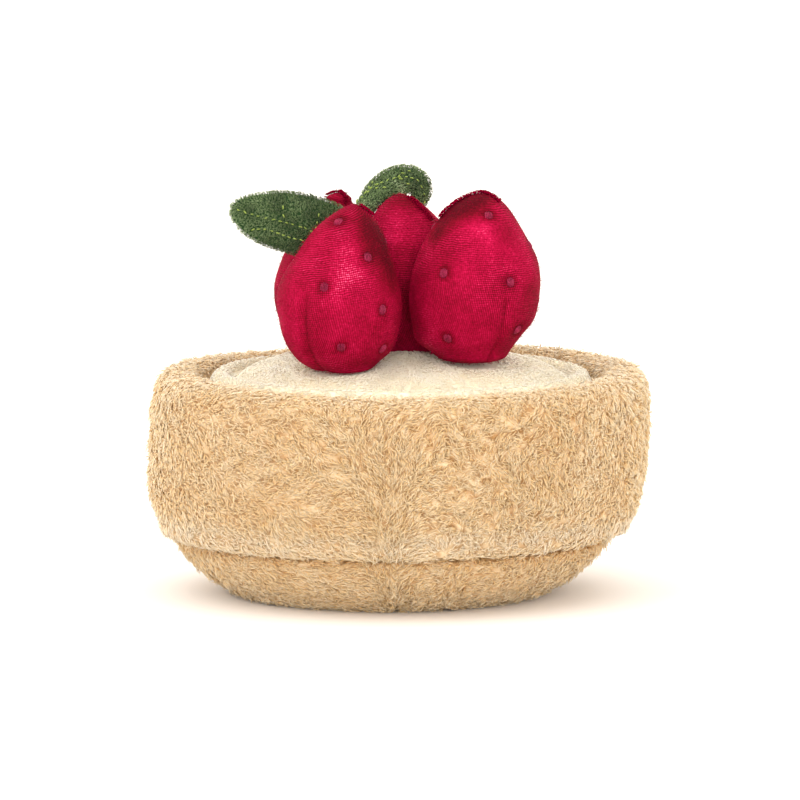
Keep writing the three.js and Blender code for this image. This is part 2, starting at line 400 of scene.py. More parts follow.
@dataclass(frozen=True)
class PileFinish:
    """Colour of a pile's strands, by their tone, with painted shade along their length towards their roots.
    """

    name: str
    tones: tuple[tuple[float, str], ...]
    # root: the colour that the strands are multiplied by at their roots, painted shade deep in the pile; it
    # fades out over the share of their length below
    root: str
    root_shade_share: float = 0.5
    roughness: float = 0.85
    specular: float = 0.1
    sheen: float = 0.25
    tint: str = "FFF4E0"
    glow: float = 0.0
    glow_reach: float = 0.8

    def material(self) -> bpy.types.Material:
        """Make the strands' material.

        Returns:
            The material.
        """
        shader = Shader(self.name)
        place = shader.add("UVMap", uv_map=STRAND_MAP).outputs[0]
        axes = shader.add("SeparateXYZ", _0=place)
        tone = shader.ramp(axes.outputs[0], self.tones)
        # painted shade towards the roots of the strands
        depth = shader.ramp(axes.outputs[1], ((0.0, self.root), (self.root_shade_share, "FFFFFF")))
        shaded = shader.add("Mix", data_type="RGBA", blend_type="MULTIPLY")
        shaded.inputs[0].default_value = 1.0
        shader.feed(shaded.inputs[6], tone)
        shader.feed(shaded.inputs[7], depth)
        shader.feed(shader.surface.inputs["Base Color"], shaded.outputs[2])
        shader.cloth(self.roughness, self.sheen, self.tint, self.specular)
        shader.glow(self.glow, self.glow_reach)
        return shader.material


@dataclass(frozen=True)
class BackingFinish:
    """The woven backing that shows between the strands of a pile."""

    name: str
    dark: str
    light: str
    patches: float
    flecks: float

    def material(self) -> bpy.types.Material:
        """Make the backing's material.

        Returns:
            The material.
        """
        shader = Shader(self.name)
        value = shader.mottle(self.patches, self.flecks, 0.5)
        shader.paint(value, ((0.35, self.dark), (0.65, self.light)))
        shader.cloth(0.9, 0.2, "FFFFFF", specular=0.1)
        shader.bump(value, 0.3)
        return shader.material


@dataclass(frozen=True)
class MattedFinish:
    """The matted foot of the crust's pile, with painted shade in its furrows and painted light on its ridges.
    """

    name: str = "crust_matting"
    # painted shade in the furrows and painted light on the ridges, about the middle colour
    furrow_shade: str = "BA9264"
    middle: str = "CCAD86"
    ridge_light: str = "D8C19E"

    def material(self) -> bpy.types.Material:
        """Make the matting's material.

        Returns:
            The material.
        """
        shader = Shader(self.name)
        loft, tone = shader.stored("loft"), shader.stored("tone")
        fleck = shader.mottle(6.0, 0.8, 0.6)
        # the stored loft paints shade low in the matting and light high on it
        share = shader.swayed(shader.swayed(loft, fleck, 0.5), tone, 0.8)
        shader.paint(share, ((0.05, self.furrow_shade), (0.5, self.middle), (0.95, self.ridge_light)))
        shader.cloth(0.9, 0.0, "FFF4E0", specular=0.0)
        shader.glow(0.4)
        shader.bump(fleck, 0.3)
        return shader.material


@dataclass(frozen=True)
class VelourFinish:
    """Knitted crimson velour: ribs round the berry, wales up it, and painted highlights and painted shade
    where its nap would catch or lose the light.
    """

    name: str = "strawberry_velour"
    rib: float = 0.95
    wale: float = 0.9
    rib_depth: float = 0.16
    plain_shade: float = 0.46  # place in the colours where nothing else changes it
    # how far the painted highlights and painted shade move the colour
    light_and_shade_weight: float = 0.3
    mottle_shade: float = 1.1
    knit_shade: float = 0.17
    # how far the painted shade in the seams' grooves and the seeds' dimples darkens the velour
    groove_shade_weight: float = 0.38
    # the darkest stops are reached in the painted shade and the palest in the painted highlights, where the
    # flecks paint pink glints
    colours: tuple[tuple[float, str], ...] = (
        (0.0, "4C0512"), (0.25, "70061C"), (0.45, "8A062A"),
        (0.6, "9E0A35"), (0.8, "BE184A"), (1.0, "F07098"),
    )

    def material(self) -> bpy.types.Material:
        """Make the velour's material.

        Returns:
            The material.
        """
        shader = Shader(self.name)
        place = shader.add("UVMap", uv_map=WEAVE_MAP).outputs[0]
        axes = shader.add("SeparateXYZ", _0=place)
        wobble = shader.noise(4.0, 1.0)
        rise = shader.maths("MULTIPLY_ADD", wobble, 1.5, axes.outputs[1])
        rib = shader.maths("SINE", shader.maths("MULTIPLY", rise, TURN / self.rib))
        turned = shader.maths("MULTIPLY_ADD", rise, 0.25, axes.outputs[0])
        wale = shader.maths("SINE", shader.maths("MULTIPLY", turned, TURN / self.wale))
        ribbed = shader.maths("MULTIPLY", rib, shader.stored("ribbed"))
        knit = shader.maths("MULTIPLY_ADD", wale, shader.stored("waled"), ribbed)
        mottle = shader.mottle(9.0, 0.9, 0.6)
        # painted highlights and painted shade of the nap
        share = shader.maths("MULTIPLY_ADD", shader.stored("nap"), self.light_and_shade_weight, self.plain_shade)
        share = shader.swayed(share, mottle, self.mottle_shade)
        share = shader.maths("MULTIPLY_ADD", knit, self.knit_shade, share)
        # painted shade in the seams' grooves and the seeds' dimples
        share = shader.maths("MULTIPLY_ADD", shader.stored("pucker"), -self.groove_shade_weight, share)
        shader.paint(share, self.colours)
        shader.cloth(0.7, 0.03, "F03060", specular=0.03)
        shader.bump(shader.maths("MULTIPLY_ADD", knit, 0.25, mottle), self.rib_depth)
        return shader.material


@dataclass(frozen=True)
class ThreadFinish:
    """Glossy sewing thread."""

    name: str
    dark: str
    light: str
    size: float = 0.5
    sheen: float = 0.3

    def material(self) -> bpy.types.Material:
        """Make the thread's material.

        Returns:
            The material.
        """
        shader = Shader(self.name)
        value = shader.mottle(3.0, self.size, 0.7)
        shader.paint(value, ((0.36, self.dark), (0.64, self.light)))
        shader.cloth(0.5, self.sheen, "FFFFFF", specular=0.15)
        shader.bump(value, 0.12)
        return shader.material


class Finish(Enum):
    """The finishes of the tart."""

    CRUST_MATTING = MattedFinish()
    CRUST_PILE = PileFinish(
        "crust_pile",
        ((0.0, "DEB37D"), (0.35, "E5C596"), (0.6, "EAD2AC"), (1.0, "EFDEC3")),
        # painted shade at the roots of the strands
        root="F2D0A2",
        root_shade_share=0.65,
        specular=0.0,
        sheen=0.0,
        glow=0.5,
        glow_reach=0.8,
    )
    CREAM_BACKING = BackingFinish("cream_backing", "F0E5C8", "F4ECD4", 8.0, 0.9)
    CREAM_PILE = PileFinish(
        "cream_pile",
        ((0.0, "EFE4C8"), (0.5, "F2EAD4"), (1.0, "F5F1E3")),
        # painted shade at the roots of the strands
        root="FDFAF2",
        root_shade_share=0.5,
        specular=0.0,
        sheen=0.0,
        glow=0.4,
        glow_reach=1.0,
    )
    VELOUR = VelourFinish()
    BERRY_PILE = PileFinish(
        "berry_fuzz",
        ((0.0, "70041C"), (0.5, "9C0634"), (1.0, "C81C4E")),
        # painted shade at the roots of the strands
        root="F0F0F0",
        specular=0.0,
        sheen=0.0,
    )
    SEED = ThreadFinish("seed_thread", "5A0822", "A82850", 0.35, sheen=0.02)
    LEAF_BACKING = BackingFinish("leaf_backing", "233A20", "35502F", 7.0, 0.8)
    LEAF_PILE = PileFinish(
        "leaf_pile",
        ((0.0, "35452A"), (0.45, "586C42"), (0.8, "7A9260"), (1.0, "B0C494")),
        # painted shade at the roots of the strands
        root="A0A0A0",
        root_shade_share=0.7,
        tint="DCEBD0",
    )
    LEAF_THREAD = ThreadFinish("leaf_thread", "6A8438", "A2B45A", 0.5, sheen=0.1)

    def material(self) -> bpy.types.Material:
        """Return this finish's one material, made the first time."""
        return bpy.data.materials.get(self.value.name) or self.value.material()


# ---- Meshes --------------------------------------------------------------------------------


def add_object(name: str, data: bpy.types.ID) -> bpy.types.Object:
    """Put a new object into the scene.

    Args:
        name: its name.
        data: its mesh, light or camera.

    Returns:
        The object.
    """
    thing = bpy.data.objects.new(name, data)
    bpy.context.scene.collection.objects.link(thing)
    return thing


@dataclass(frozen=True)
class Piece:
    """A finished piece: what it is made of and what it stands for."""

    name: str
    finish: Finish
    slot: str  # the record's material slot
    replaced: tuple[str, ...] = ()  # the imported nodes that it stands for
    fill: float | None = None  # how full it is stuffed; None where it isn't

    def place(self, mesh: bpy.types.Mesh) -> None:
        """Put the piece into the scene, on its body.

        Args:
            mesh: its mesh in metres.
        """
        mesh.materials.append(self.finish.material())
        piece = add_object(self.name, mesh)
        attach(piece, BODY)
        if self.replaced:
            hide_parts(*self.replaced)
        LOG.info("%s: %d faces", self.name, len(mesh.polygons))

    def place_shape(self, bm: bmesh.types.BMesh) -> None:
        """Smooth a shape and put it into the scene.

        Args:
            bm: the shape in millimetres, which is freed.
        """
        bmesh.ops.recalc_face_normals(bm, faces=bm.faces)
        for face in bm.faces:
            face.smooth = True
        bmesh.ops.scale(bm, vec=(MM, MM, MM), verts=bm.verts)
        mesh = bpy.data.meshes.new(self.name)
        bm.to_mesh(mesh)
        bm.free()
        self.place(mesh)


def spun(outline: Array, sides: int) -> bmesh.types.BMesh:
    """Turn an outline round the tart's axis.

    Args:
        outline: [radius, height] points, from axis to axis or back to the first.
        sides: how many steps the turn takes.

    Returns:
        The closed mesh.
    """
    bm = bmesh.new()
    corners = [bm.verts.new((radius, 0, height)) for radius, height in outline]
    edges = [bm.edges.new(pair) for pair in zip(corners, corners[1:])]
    if outline[0][0] > 1e-6:
        edges.append(bm.edges.new((corners[-1], corners[0])))
    bmesh.ops.spin(
        bm, geom=corners + edges, cent=(0, 0, 0), axis=(0, 0, 1), angle=TURN, steps=sides, use_merge=True
    )
    bmesh.ops.remove_doubles(bm, verts=bm.verts, dist=1e-3)
    bmesh.ops.recalc_face_normals(bm, faces=bm.faces)
    return bm


def places_of(bm: bmesh.types.BMesh) -> Array:
    """Return the places of a bmesh's vertices."""
    return np.array([vertex.co for vertex in bm.verts])


def move_to(bm: bmesh.types.BMesh, places: Array) -> None:
    """Move a bmesh's vertices to new places and bring its normals up to date.

    Args:
        bm: the mesh.
        places: where its vertices go.
    """
    for vertex, place in zip(bm.verts, places):
        vertex.co = place
    bm.normal_update()


def sink(bm: bmesh.types.BMesh, depth: Array) -> None:
    """Move a bmesh's vertices inwards along their normals.

    Args:
        bm: the mesh.
        depth: how far each goes.
    """
    bm.normal_update()
    normals = np.array([vertex.normal for vertex in bm.verts])
    move_to(bm, places_of(bm) - normals * depth[:, None])


def set_shares(bm: bmesh.types.BMesh, name: str, values: Array) -> None:
    """Store a value at each vertex of a bmesh, for its material to read.

    Args:
        bm: the mesh.
        name: the attribute's name.
        values: one for each vertex.
    """
    layer = bm.verts.layers.float.new(name)
    for vertex, value in zip(bm.verts, values):
        vertex[layer] = float(value)


def stitch(bm: bmesh.types.BMesh, middle: Array, along: Array, outward: Array, half: Sequence[float]) -> None:
    """Add one stitch, a plump short run of thread.

    Args:
        bm: the mesh that takes it.
        middle: its middle.
        along: the way that the thread runs.
        outward: the way out of the cloth.
        half: half its length, width and height.
    """
    ahead = Vector(along).normalized()
    across = Vector(outward).cross(ahead).normalized()
    up = ahead.cross(across)
    turn = Matrix((ahead, across, up)).transposed().to_4x4()
    size = Matrix.Diagonal((*half, 1.0))
    bmesh.ops.create_uvsphere(
        bm, u_segments=8, v_segments=6, radius=1.0, matrix=Matrix.Translation(Vector(middle)) @ turn @ size
    )


# ---- Pile ----------------------------------------------------------------------------------


@dataclass
class Cloth:
    """The triangles of a backing, to scatter a pile on."""

    corners: Array
    normals: Array

    @classmethod
    def of(cls, bm: bmesh.types.BMesh) -> "Cloth":
        """Read a bmesh in millimetres.

        Args:
            bm: the backing.

        Returns:
            Its triangles.
        """
        bm.normal_update()
        bm.verts.index_update()
        places = places_of(bm)
        normals = np.array([vertex.normal for vertex in bm.verts])
        threes = np.array([[loop.vert.index for loop in three] for three in bm.calc_loop_triangles()])
        return cls(places[threes], normals[threes])

    def where(self, keep: Callable[[Array], Array]) -> "Cloth":
        """Return the part whose triangles have their middles in wanted places."""
        wanted = keep(self.corners.mean(axis=1))
        return Cloth(self.corners[wanted], self.normals[wanted])

    def area(self) -> float:
        """Return the cloth's area in square millimetres."""
        return float(self._areas().sum())

    def _areas(self) -> Array:
        """Return each triangle's area."""
        sides = self.corners[:, 1:] - self.corners[:, :1]
        return np.linalg.norm(np.cross(sides[:, 0], sides[:, 1]), axis=1) / 2

    def scatter(self, count: int, draw: np.random.Generator) -> tuple[Array, Array]:
        """Scatter points evenly.

        Args:
            count: how many.
            draw: the source of chance.

        Returns:
            Their places and the normals there.
        """
        areas = np.cumsum(self._areas())
        at = (np.arange(count) + draw.random(count)) / count * areas[-1]
        chosen = np.minimum(np.searchsorted(areas, at), len(areas) - 1)
        first, second = draw.random(count) ** 0.5, draw.random(count)
        weights = np.stack([1 - first, first * (1 - second), first * second], axis=1)[:, :, None]
        places = (self.corners[chosen] * weights).sum(axis=1)
        return places, unit((self.normals[chosen] * weights).sum(axis=1))


Flow = Callable[[Array, Array], Array]

ARCH, ARCH_PEAK = 1.9, 0.83  # a strand rises as a sine of this many radians, with its top at this share
WAVE = 5.2  # and waves aside as one of this many
LEAN_POWER, DRAW_POWER = 1.35, 1.5  # how late it leans over, and is drawn to its lock
LOCK_TONES, STRAND_TONES = 0.04, 0.035  # how far the tones of locks, and of strands, spread


@dataclass(frozen=True)
class Pile:
    """How one pile grows."""

    rise: float  # how high a strand stands over the backing
    run: float  # how far it leans over
    width: float  # its thickest
    joints: int  # points along it, both ends counted
    curl: float  # how far it waves aside
    lock: float  # spacing of the locks that strands gather in
    gather: float  # how far a tip is drawn to its lock's, from 0 to 1
    stray: float  # how far its heading strays from the lock's, in radians
    uneven: float  # share by which lengths differ
    flat: float = 1.0  # share of the width that it is thick


@dataclass
class Growth:
    """A pile on its cloth: the spines of the strands and their tones."""

    pile: Pile
    spines: Array
    outward: Array
    tones: Array

    @classmethod
    def on(
        cls,
        cloth: Cloth,
        pile: Pile,
        density: float,
        flow: Flow,
        tone: Callable[[Array], Array],
        seed: int,
        short: Callable[[Array], Array] | None = None,
    ) -> "Growth":
        """Grow a pile.

        Args:
            cloth: the backing.
            pile: how it grows.
            density: strands to a square millimetre.
            flow: the heading of the pile at places with their normals.
            tone: the colour tone at places, about 0.5.
            seed: seed of every draw.
            short: share of the full rise at places; 1 if left out.

        Returns:
            The pile.
        """
        draw = np.random.default_rng(seed)
        area = cloth.area()
        count = max(int(area * density), 1)
        roots, normals = cloth.scatter(count, draw)
        lock_roots, lock_normals = cloth.scatter(max(int(area / pile.lock**2), 1), draw)
        lock_of = cls._nearest(lock_roots, roots)
        heads = flow(lock_roots, lock_normals)[lock_of]
        heads = unit(heads - normals * (heads * normals).sum(axis=1, keepdims=True))
        aside = np.cross(normals, heads)
        stray = draw.normal(0, pile.stray, (count, 1))
        heads = heads * np.cos(stray) + aside * np.sin(stray)
        aside = np.cross(normals, heads)

        full = 1 + pile.uneven * draw.uniform(-1, 1, (count, 1))
        rise = pile.rise * full * (1 if short is None else short(roots)[:, None])
        run = pile.run * full
        lock_phase = draw.uniform(0, TURN, len(lock_roots))[lock_of][:, None]
        lock_curl = draw.uniform(0.4, 1.3, len(lock_roots))[lock_of][:, None]
        lock_tone = draw.normal(0, LOCK_TONES, len(lock_roots))[lock_of]
        phase = lock_phase + draw.normal(0, 0.5, (count, 1))
        drawn_to = (lock_roots[lock_of] - roots) * pile.gather

        spines = []
        for step in np.linspace(0, 1, pile.joints):
            up = math.sin(step * ARCH) / math.sin(ARCH * ARCH_PEAK)
            side = pile.curl * lock_curl * np.sin(phase + step * WAVE) * min(1, 2.2 * step)
            spine = roots + normals * rise * up + heads * run * step**LEAN_POWER + aside * side
            spines.append(spine + drawn_to * step**DRAW_POWER)
        tones = tone(roots) + lock_tone + draw.normal(0, STRAND_TONES, count)
        return cls(pile, np.stack(spines, axis=1), normals, np.clip(tones, 0.02, 0.98))

    @staticmethod
    def _nearest(targets: Array, places: Array) -> Array:
        """Find the targets that places are nearest to.

        Args:
            targets: what to choose from.
            places: the places.

        Returns:
            The number of each place's target.
        """
        tree = KDTree(len(targets))
        for number, target in enumerate(targets):
            tree.insert(target, number)
        tree.balance()
        return np.array([tree.find(place)[1] for place in places])

    def above(self, height: float) -> None:
        """Keep every strand above a height."""
        self.spines[:, :, 2] = np.maximum(self.spines[:, :, 2], height)

    def without(self, unwanted: Array) -> None:
        """Take strands out.

        Args:
            unwanted: for each strand, whether it goes.
        """
        kept = ~unwanted
        self.spines, self.outward, self.tones = self.spines[kept], self.outward[kept], self.tones[kept]

    def arrays(self) -> tuple[Array, Array, Array]:
        """Shape the strands as closed tapered spindles.

        Returns:
            Their points, their triangles and their chart of tones.
        """
        count, joints = self.spines.shape[:2]
        rings = joints - 2
        ahead = unit(self.spines[:, 2:] - self.spines[:, :-2])
        side = unit(np.cross(ahead, np.repeat(self.outward[:, None], rings, axis=1)))
        over = np.cross(side, ahead) * self.pile.flat
        inner = np.arange(1, joints - 1) / (joints - 1)
        taper = (np.minimum(1, 1.5 - 1.15 * inner) * self.pile.width / 2)[None, :, None]  # thin at the tip
        ring = []
        for corner in range(3):
            turn = corner * TURN / 3 + math.pi / 2
            ring.append(self.spines[:, 1:-1] + (side * math.cos(turn) + over * math.sin(turn)) * taper)
        body = np.stack(ring, axis=2).reshape(count, rings * 3, 3)
        places = np.concatenate([self.spines[:, :1], body, self.spines[:, -1:]], axis=1)
        stride = 2 + rings * 3
        faces = np.array(self._faces(rings))[None] + (np.arange(count) * stride)[:, None, None]
        height = np.concatenate([[0.02], np.repeat(inner, 3), [0.98]])
        edge = np.concatenate([[0.0], np.tile([-0.0015, 0.0, 0.0015], rings), [0.0]])  # the chart's width
        across = self.tones[:, None] + edge[None]
        chart = np.stack([across, np.broadcast_to(height, across.shape)], axis=2)
        return places.reshape(-1, 3), faces.reshape(-1, 3), chart.reshape(-1, 2)

    @staticmethod
    def _faces(rings: int) -> list[tuple[int, int, int]]:
        """List the triangles of one strand.

        Args:
            rings: how many rings of three points it has.

        Returns:
            The numbers of their corners.
        """
        last = 1 + rings * 3
        faces = []
        for corner in range(3):
            beside = (corner + 1) % 3
            faces.append((0, 1 + beside, 1 + corner))
            for ring in range(rings - 1):
                low, high = 1 + ring * 3, 4 + ring * 3
                faces.append((low + corner, low + beside, high + beside))
                faces.append((low + corner, high + beside, high + corner))
            faces.append((last, last - 3 + corner, last - 3 + beside))
        return faces


def pile_mesh(name: str, growths: Sequence[Growth]) -> bpy.types.Mesh:
    """Join the strands of a few growths to one mesh in metres.

    Args:
        name: the mesh's name.
        growths: what grows in it.

    Returns:
        The mesh, with its chart of tones.
    """
    parts = [growth.arrays() for growth in growths]
    starts = np.cumsum([0] + [len(part[0]) for part in parts])
    places = np.concatenate([part[0] for part in parts])
    corners = np.concatenate([part[1] + start for part, start in zip(parts, starts)]).reshape(-1)
    chart = np.concatenate([part[2] for part in parts])
    mesh = bpy.data.meshes.new(name)
    mesh.vertices.add(len(places))
    mesh.vertices.foreach_set("co", (places * MM).astype(np.float32).ravel())
    mesh.loops.add(len(corners))
    mesh.loops.foreach_set("vertex_index", corners.astype(np.int32))
    mesh.polygons.add(len(corners) // 3)
    mesh.polygons.foreach_set("loop_start", np.arange(0, len(corners), 3, dtype=np.int32))
    mesh.update(calc_edges=True)
    mesh.polygons.foreach_set("use_smooth", np.ones(len(mesh.polygons), dtype=bool))
    layer = mesh.uv_layers.new(name=STRAND_MAP)
    layer.uv.foreach_set("vector", chart[corners].astype(np.float32).ravel())
    return mesh


def tangent_heading(normals: Array, turn: Array) -> Array:
    """Work out headings in the surface.

    Args:
        normals: the surface's normals.
        turn: for each, the angle from straight down, in radians; positive is to the right, seen from outside.

    Returns:
        The headings.
    """
    down = np.array([0.0, 0.0, -1.0]) - normals * (-normals[:, 2:])
    flat = np.linalg.norm(down, axis=1) < 0.15  # no way down: -Y takes its place
    down[flat] = np.array([0.0, -1.0, 0.0]) - normals[flat] * (-normals[flat][:, 1:2])
    down = unit(down)
    right = np.cross(down, normals)
    return down * np.cos(turn)[:, None] + right * np.sin(turn)[:, None]


# ---- Crust ---------------------------------------------------------------------------------


@dataclass
class Crust:
    """The crust: a fat band round a bowl-shaped base, both in curly plush."""

    rim_height: float = 89.7
    rim_radius: float = 88.0
    hem_height: float = 24.6
    well_radius: float = 74.5
    base_radius: float = 86.0
    core_top: float = 78.6
    lean: float = 0.05
    lean_height: float = 55.0
    middle: tuple[float, float] = (0.75, -0.45)
    seam: float = -92.7
    seam_depth: float = 1.1
    seam_half_width: float = 6.0
    sides: int = 720
    backing_depth: float = 1.6
    density: float = 0.4
    lower_density: float = 0.55
    matting: float = 0.42
    rim_waves: tuple[tuple[float, float, float], ...] = ((1, 0.5, 47), (2, 0.8, 16), (3, 0.3, -57))
    wall_waves: tuple[tuple[float, float, float], ...] = ((3, 0.5, 20), (5, 0.35, 65))
    pile: Pile = Pile(
        rise=1.3, run=3.6, width=0.54, joints=4, curl=0.75, lock=1.7, gather=0.35, stray=0.3, uneven=0.25
    )
    lower_pile: Pile = Pile(
        rise=0.9, run=3.6, width=0.75, joints=3, curl=0.4, lock=2.4, gather=0.1, stray=0.4, uneven=0.3,
        flat=0.6,
    )
    covered: tuple[float, float] = (79.0, 80.0)  # radius and height within which the band is against the base
    rim_from: float = 84.0  # height from which the pile is the rim's piece
    flat_top: float = 0.4  # height under which the base's pile is pressed flat
    floor_gap: float = 0.3
    least_depth: float = 0.3  # of the backing under the tips of the pile
    seed: int = 101
    slot: str = "crust_plush"

    def leaned(self, places: Array) -> Array:
        """Lean the upright crust.

        Args:
            places: places of the upright crust.

        Returns:
            Where the leaning crust has them.
        """
        moved = places.copy()
        moved[:, 0] += self.lean * (places[:, 2] - self.lean_height) - self.middle[0]
        moved[:, 1] -= self.middle[1]
        return moved

    def band_shape(self) -> bmesh.types.BMesh:
        """Shape the band, out to the tips of its pile.

        Returns:
            Its mesh.
        """
        hem, well = self.hem_height, self.well_radius
        outline = SmoothPath(
            [
                (87.5, hem), (92.6, hem + 2), (95.8, 32.5), (98.3, 40), (99.6, 52), (99.6, 66), (99, 77),
                (97.2, 84.4), (93.4, 88.8), (self.rim_radius, self.rim_height), (82.4, 88.6), (78.2, 84.4),
                (well + 1.9, 79.6), (well, 72), (well, 50), (well, 34), (well + 1, hem + 2.2),
                (81, hem + 0.6),
            ],
            closed=True,
        )
        shown = 0.62  # share of the outline that isn't against the base
        shares = np.concatenate([np.linspace(0, shown, 112, endpoint=False), np.linspace(shown, 1, 14)[:-1]])
        bm = spun(outline.at(shares), self.sides)
        places = places_of(bm)
        angle, radius = round_axis(places)
        outer = smooth_step(well + 4, self.rim_radius, radius)
        from_seam = np.abs(np.degrees(angle) - self.seam) / self.seam_half_width
        seam = self.seam_depth * np.maximum(0, 1 - from_seam) * smooth_step(self.rim_height, 60, places[:, 2])
        swell = outer * (wave_sum(self.wall_waves, angle) - seam)
        lift = outer * wave_sum(self.rim_waves, angle) * smooth_step(60, self.rim_height, places[:, 2])
        places += np.stack([np.cos(angle) * swell, np.sin(angle) * swell, lift], axis=1)
        move_to(bm, self.leaned(places))
        return bm

    def base_shape(self) -> bmesh.types.BMesh:
        """Shape the base with the core that fills the band.

        Returns:
            Its mesh.
        """
        wall, top, edge = self.well_radius - CONTACT_GAP - 0.2, self.hem_height + 0.1, self.base_radius
        bowl = SmoothPath(
            [
                (54.5, 0), (59.4, 0.8), (65, 2.9), (70.6, 5.8), (75.4, 9), (80, 13), (83.6, 17.6),
                (edge - 0.2, 21.6), (edge - 0.9, self.hem_height - 1.1),
            ]
        )
        outline = [
            (0, 0), (18, 0), (36, 0), (48, 0), *bowl.at(np.linspace(0, 1, 54)),
            (self.well_radius, top - 0.6), (self.well_radius - 0.5, top + 1.6), (wall, 34), (wall, 72),
            (wall, self.core_top), (0, self.core_top),
        ]
        bm = spun(np.array(outline), self.sides)
        move_to(bm, self.leaned(places_of(bm)))
        return bm

    def mat(self, bm: bmesh.types.BMesh, depth: Array, shown: Array) -> None:
        """Sink the backing and raise on it the matted foot of the pile, in streaks that follow its lie.

        Args:
            bm: the backing, out to the tips of its pile.
            depth: for each vertex, how far the backing lies under these.
            shown: for each vertex, whether pile grows there.
        """
        bm.normal_update()
        places, normals = places_of(bm), np.array([vertex.normal for vertex in bm.verts])
        loft = np.zeros(len(places))
        loft[shown] = self._streaks(places[shown], normals[shown])
        # the matting's colour paints shade where this height is low and light where it is high; the stored
        # tone carries the painted light and shade of the crust's tone
        set_shares(bm, "loft", 0.5 + 0.25 * loft)
        set_shares(bm, "tone", self.tone(places))
        move_to(bm, places - normals * (depth - self.matting * loft)[:, None])

    def _streaks(self, places: Array, normals: Array) -> Array:
        """Smear noise along the lie of the pile.

        Args:
            places: where to.
            normals: the normals there.

        Returns:
            The noise, within -2 and 2.
        """
        fine = WaveField(13, 2.3, waves=70)
        total = fine.at(places)
        for way in (1, -1):
            at = places.copy()
            for step in range(1, 4):
                at += way * 0.8 * self.flow(at, normals)
                total += fine.at(at) * (1 - step / 5)
        return np.clip(total / total.std(), -2.0, 2.0)

    def flow(self, places: Array, normals: Array) -> Array:
        """Lay the pile away from the seam, turning in wide whorls.

        Args:
            places: where it grows.
            normals: the normals there.

        Returns:
            Its headings.
        """
        angle, _ = round_axis(places)
        from_seam = (np.degrees(angle) - self.seam + 180) % 360 - 180
        lower = smooth_step(72, 40, places[:, 2])  # 1 below the roll of the rim
        side = np.tanh(from_seam / (16 - 11 * lower))  # -1 at the left of the seam, 1 at its right
        combed = lower * np.exp(-((from_seam / 9) ** 2))  # 1 along the seam, where the pile hangs straight
        wide, close, wavy = (WaveField(seed, size).at(places) for seed, size in ((11, 62), (12, 17), (14, 5)))
        turning = 0.4 + 0.6 * smooth_step(5, 25, from_seam) + 0.4 * smooth_step(-60, -110, from_seam)
        lying = side * 1.4 * np.exp(-((from_seam / 80) ** 2)) + turning * (wide + 0.9 * close + 0.9 * wavy)
        turn = lying * (1 - 0.75 * combed) + side * 0.3 * combed
        return tangent_heading(normals, turn)

    def tone(self, places: Array) -> Array:
        """Tone the pile: in patches, with painted light over the hem and on the crest, and a painted shadow
        line under the hem.

        Args:
            places: where it grows.

        Returns:
            Its tones.
        """
        patches = 0.055 * WaveField(21, 34).at(places) + 0.045 * WaveField(22, 9).at(places)
        # painted light on the band's lower edge
        hem = 0.36 * np.exp(-(((places[:, 2] - self.hem_height - 6) / 5) ** 2))
        # painted shadow that the band's overhang casts on the base
        shade_line = 0.3 * np.exp(-(((places[:, 2] - 22.6) / 1.8) ** 2))
        # painted light on the crest of the rim
        crest_light = 0.28 * smooth_step(83, 90, places[:, 2])
        return 0.5 + patches + hem + crest_light - shade_line

    def shaded_lower_tone(self, places: Array) -> Array:
        """Return the tone deep in the pile, browner with painted shade."""
        return self.tone(places) - 0.1

    def short(self, places: Array) -> Array:
        """Shorten the pile along the seam, at the hem and in the well.

        Args:
            places: where it grows.

        Returns:
            The share of its full rise.
        """
        angle, radius = round_axis(places)
        seam = np.exp(-(((np.degrees(angle) - self.seam) / 1.3) ** 2)) * smooth_step(80, 70, places[:, 2])
        hem = smooth_step(31, 26, places[:, 2])
        well = smooth_step(84, 80, radius) * smooth_step(60, 70, places[:, 2])
        kept = (1 - 0.12 * seam) * (1 - 0.35 * hem) * (1 - 0.5 * well)
        return (1 + 0.16 * WaveField(31, 13).at(places)) * kept

    def build(self) -> None:
        """Build the band, the base and their pile."""
        band = self.band_shape()
        places = places_of(band)
        _, radius = round_axis(places)
        hidden = (radius < self.covered[0]) & (places[:, 2] < self.covered[1])
        depth = self.backing_depth * smooth_step(24, 31, places[:, 2]) + self.least_depth
        self.mat(band, np.where(hidden, self.least_depth, depth), ~hidden)
        cloth = Cloth.of(band).where(self._shows)
        walls = {
            "crust_pile_front": lambda at: (at[:, 2] < self.rim_from) & (at[:, 1] < 0),
            "crust_pile_back": lambda at: (at[:, 2] < self.rim_from) & (at[:, 1] >= 0),
            "crust_pile_rim": lambda at: at[:, 2] >= self.rim_from,
        }
        for number, (name, part) in enumerate(walls.items()):
            self._grow(name, cloth.where(part), self.seed + number)
        base = self.base_shape()
        places = places_of(base)
        bowl = smooth_step(25, 21, places[:, 2])
        depth = self.least_depth + (self.backing_depth - 0.6) * bowl * smooth_step(0, 6, places[:, 2])
        self.mat(base, depth, (places[:, 2] > self.flat_top) & (places[:, 2] < self.hem_height))
        cloth = Cloth.of(base).where(lambda at: at[:, 2] < self.hem_height - 0.5)
        self._grow("crust_pile_bowl", cloth.where(lambda at: at[:, 2] > self.flat_top), self.seed + 4, 0.84)
        self._grow("crust_pile_under", cloth.where(lambda at: at[:, 2] <= self.flat_top), self.seed + 5, 0.3)
        for node, shape in (("crust_band", band), ("crust_base", base)):
            skin = Piece(f"{node}_skin", Finish.CRUST_MATTING, self.slot, (node,), fill=0.8)
            skin.place_shape(shape)

    def _shows(self, places: Array) -> Array:
        """Return which places of the band aren't against the base or the cream."""
        _, radius = round_axis(places)
        return ((radius > 80) | (places[:, 2] > 80.5)) & ((radius > 87) | (places[:, 2] > 40))

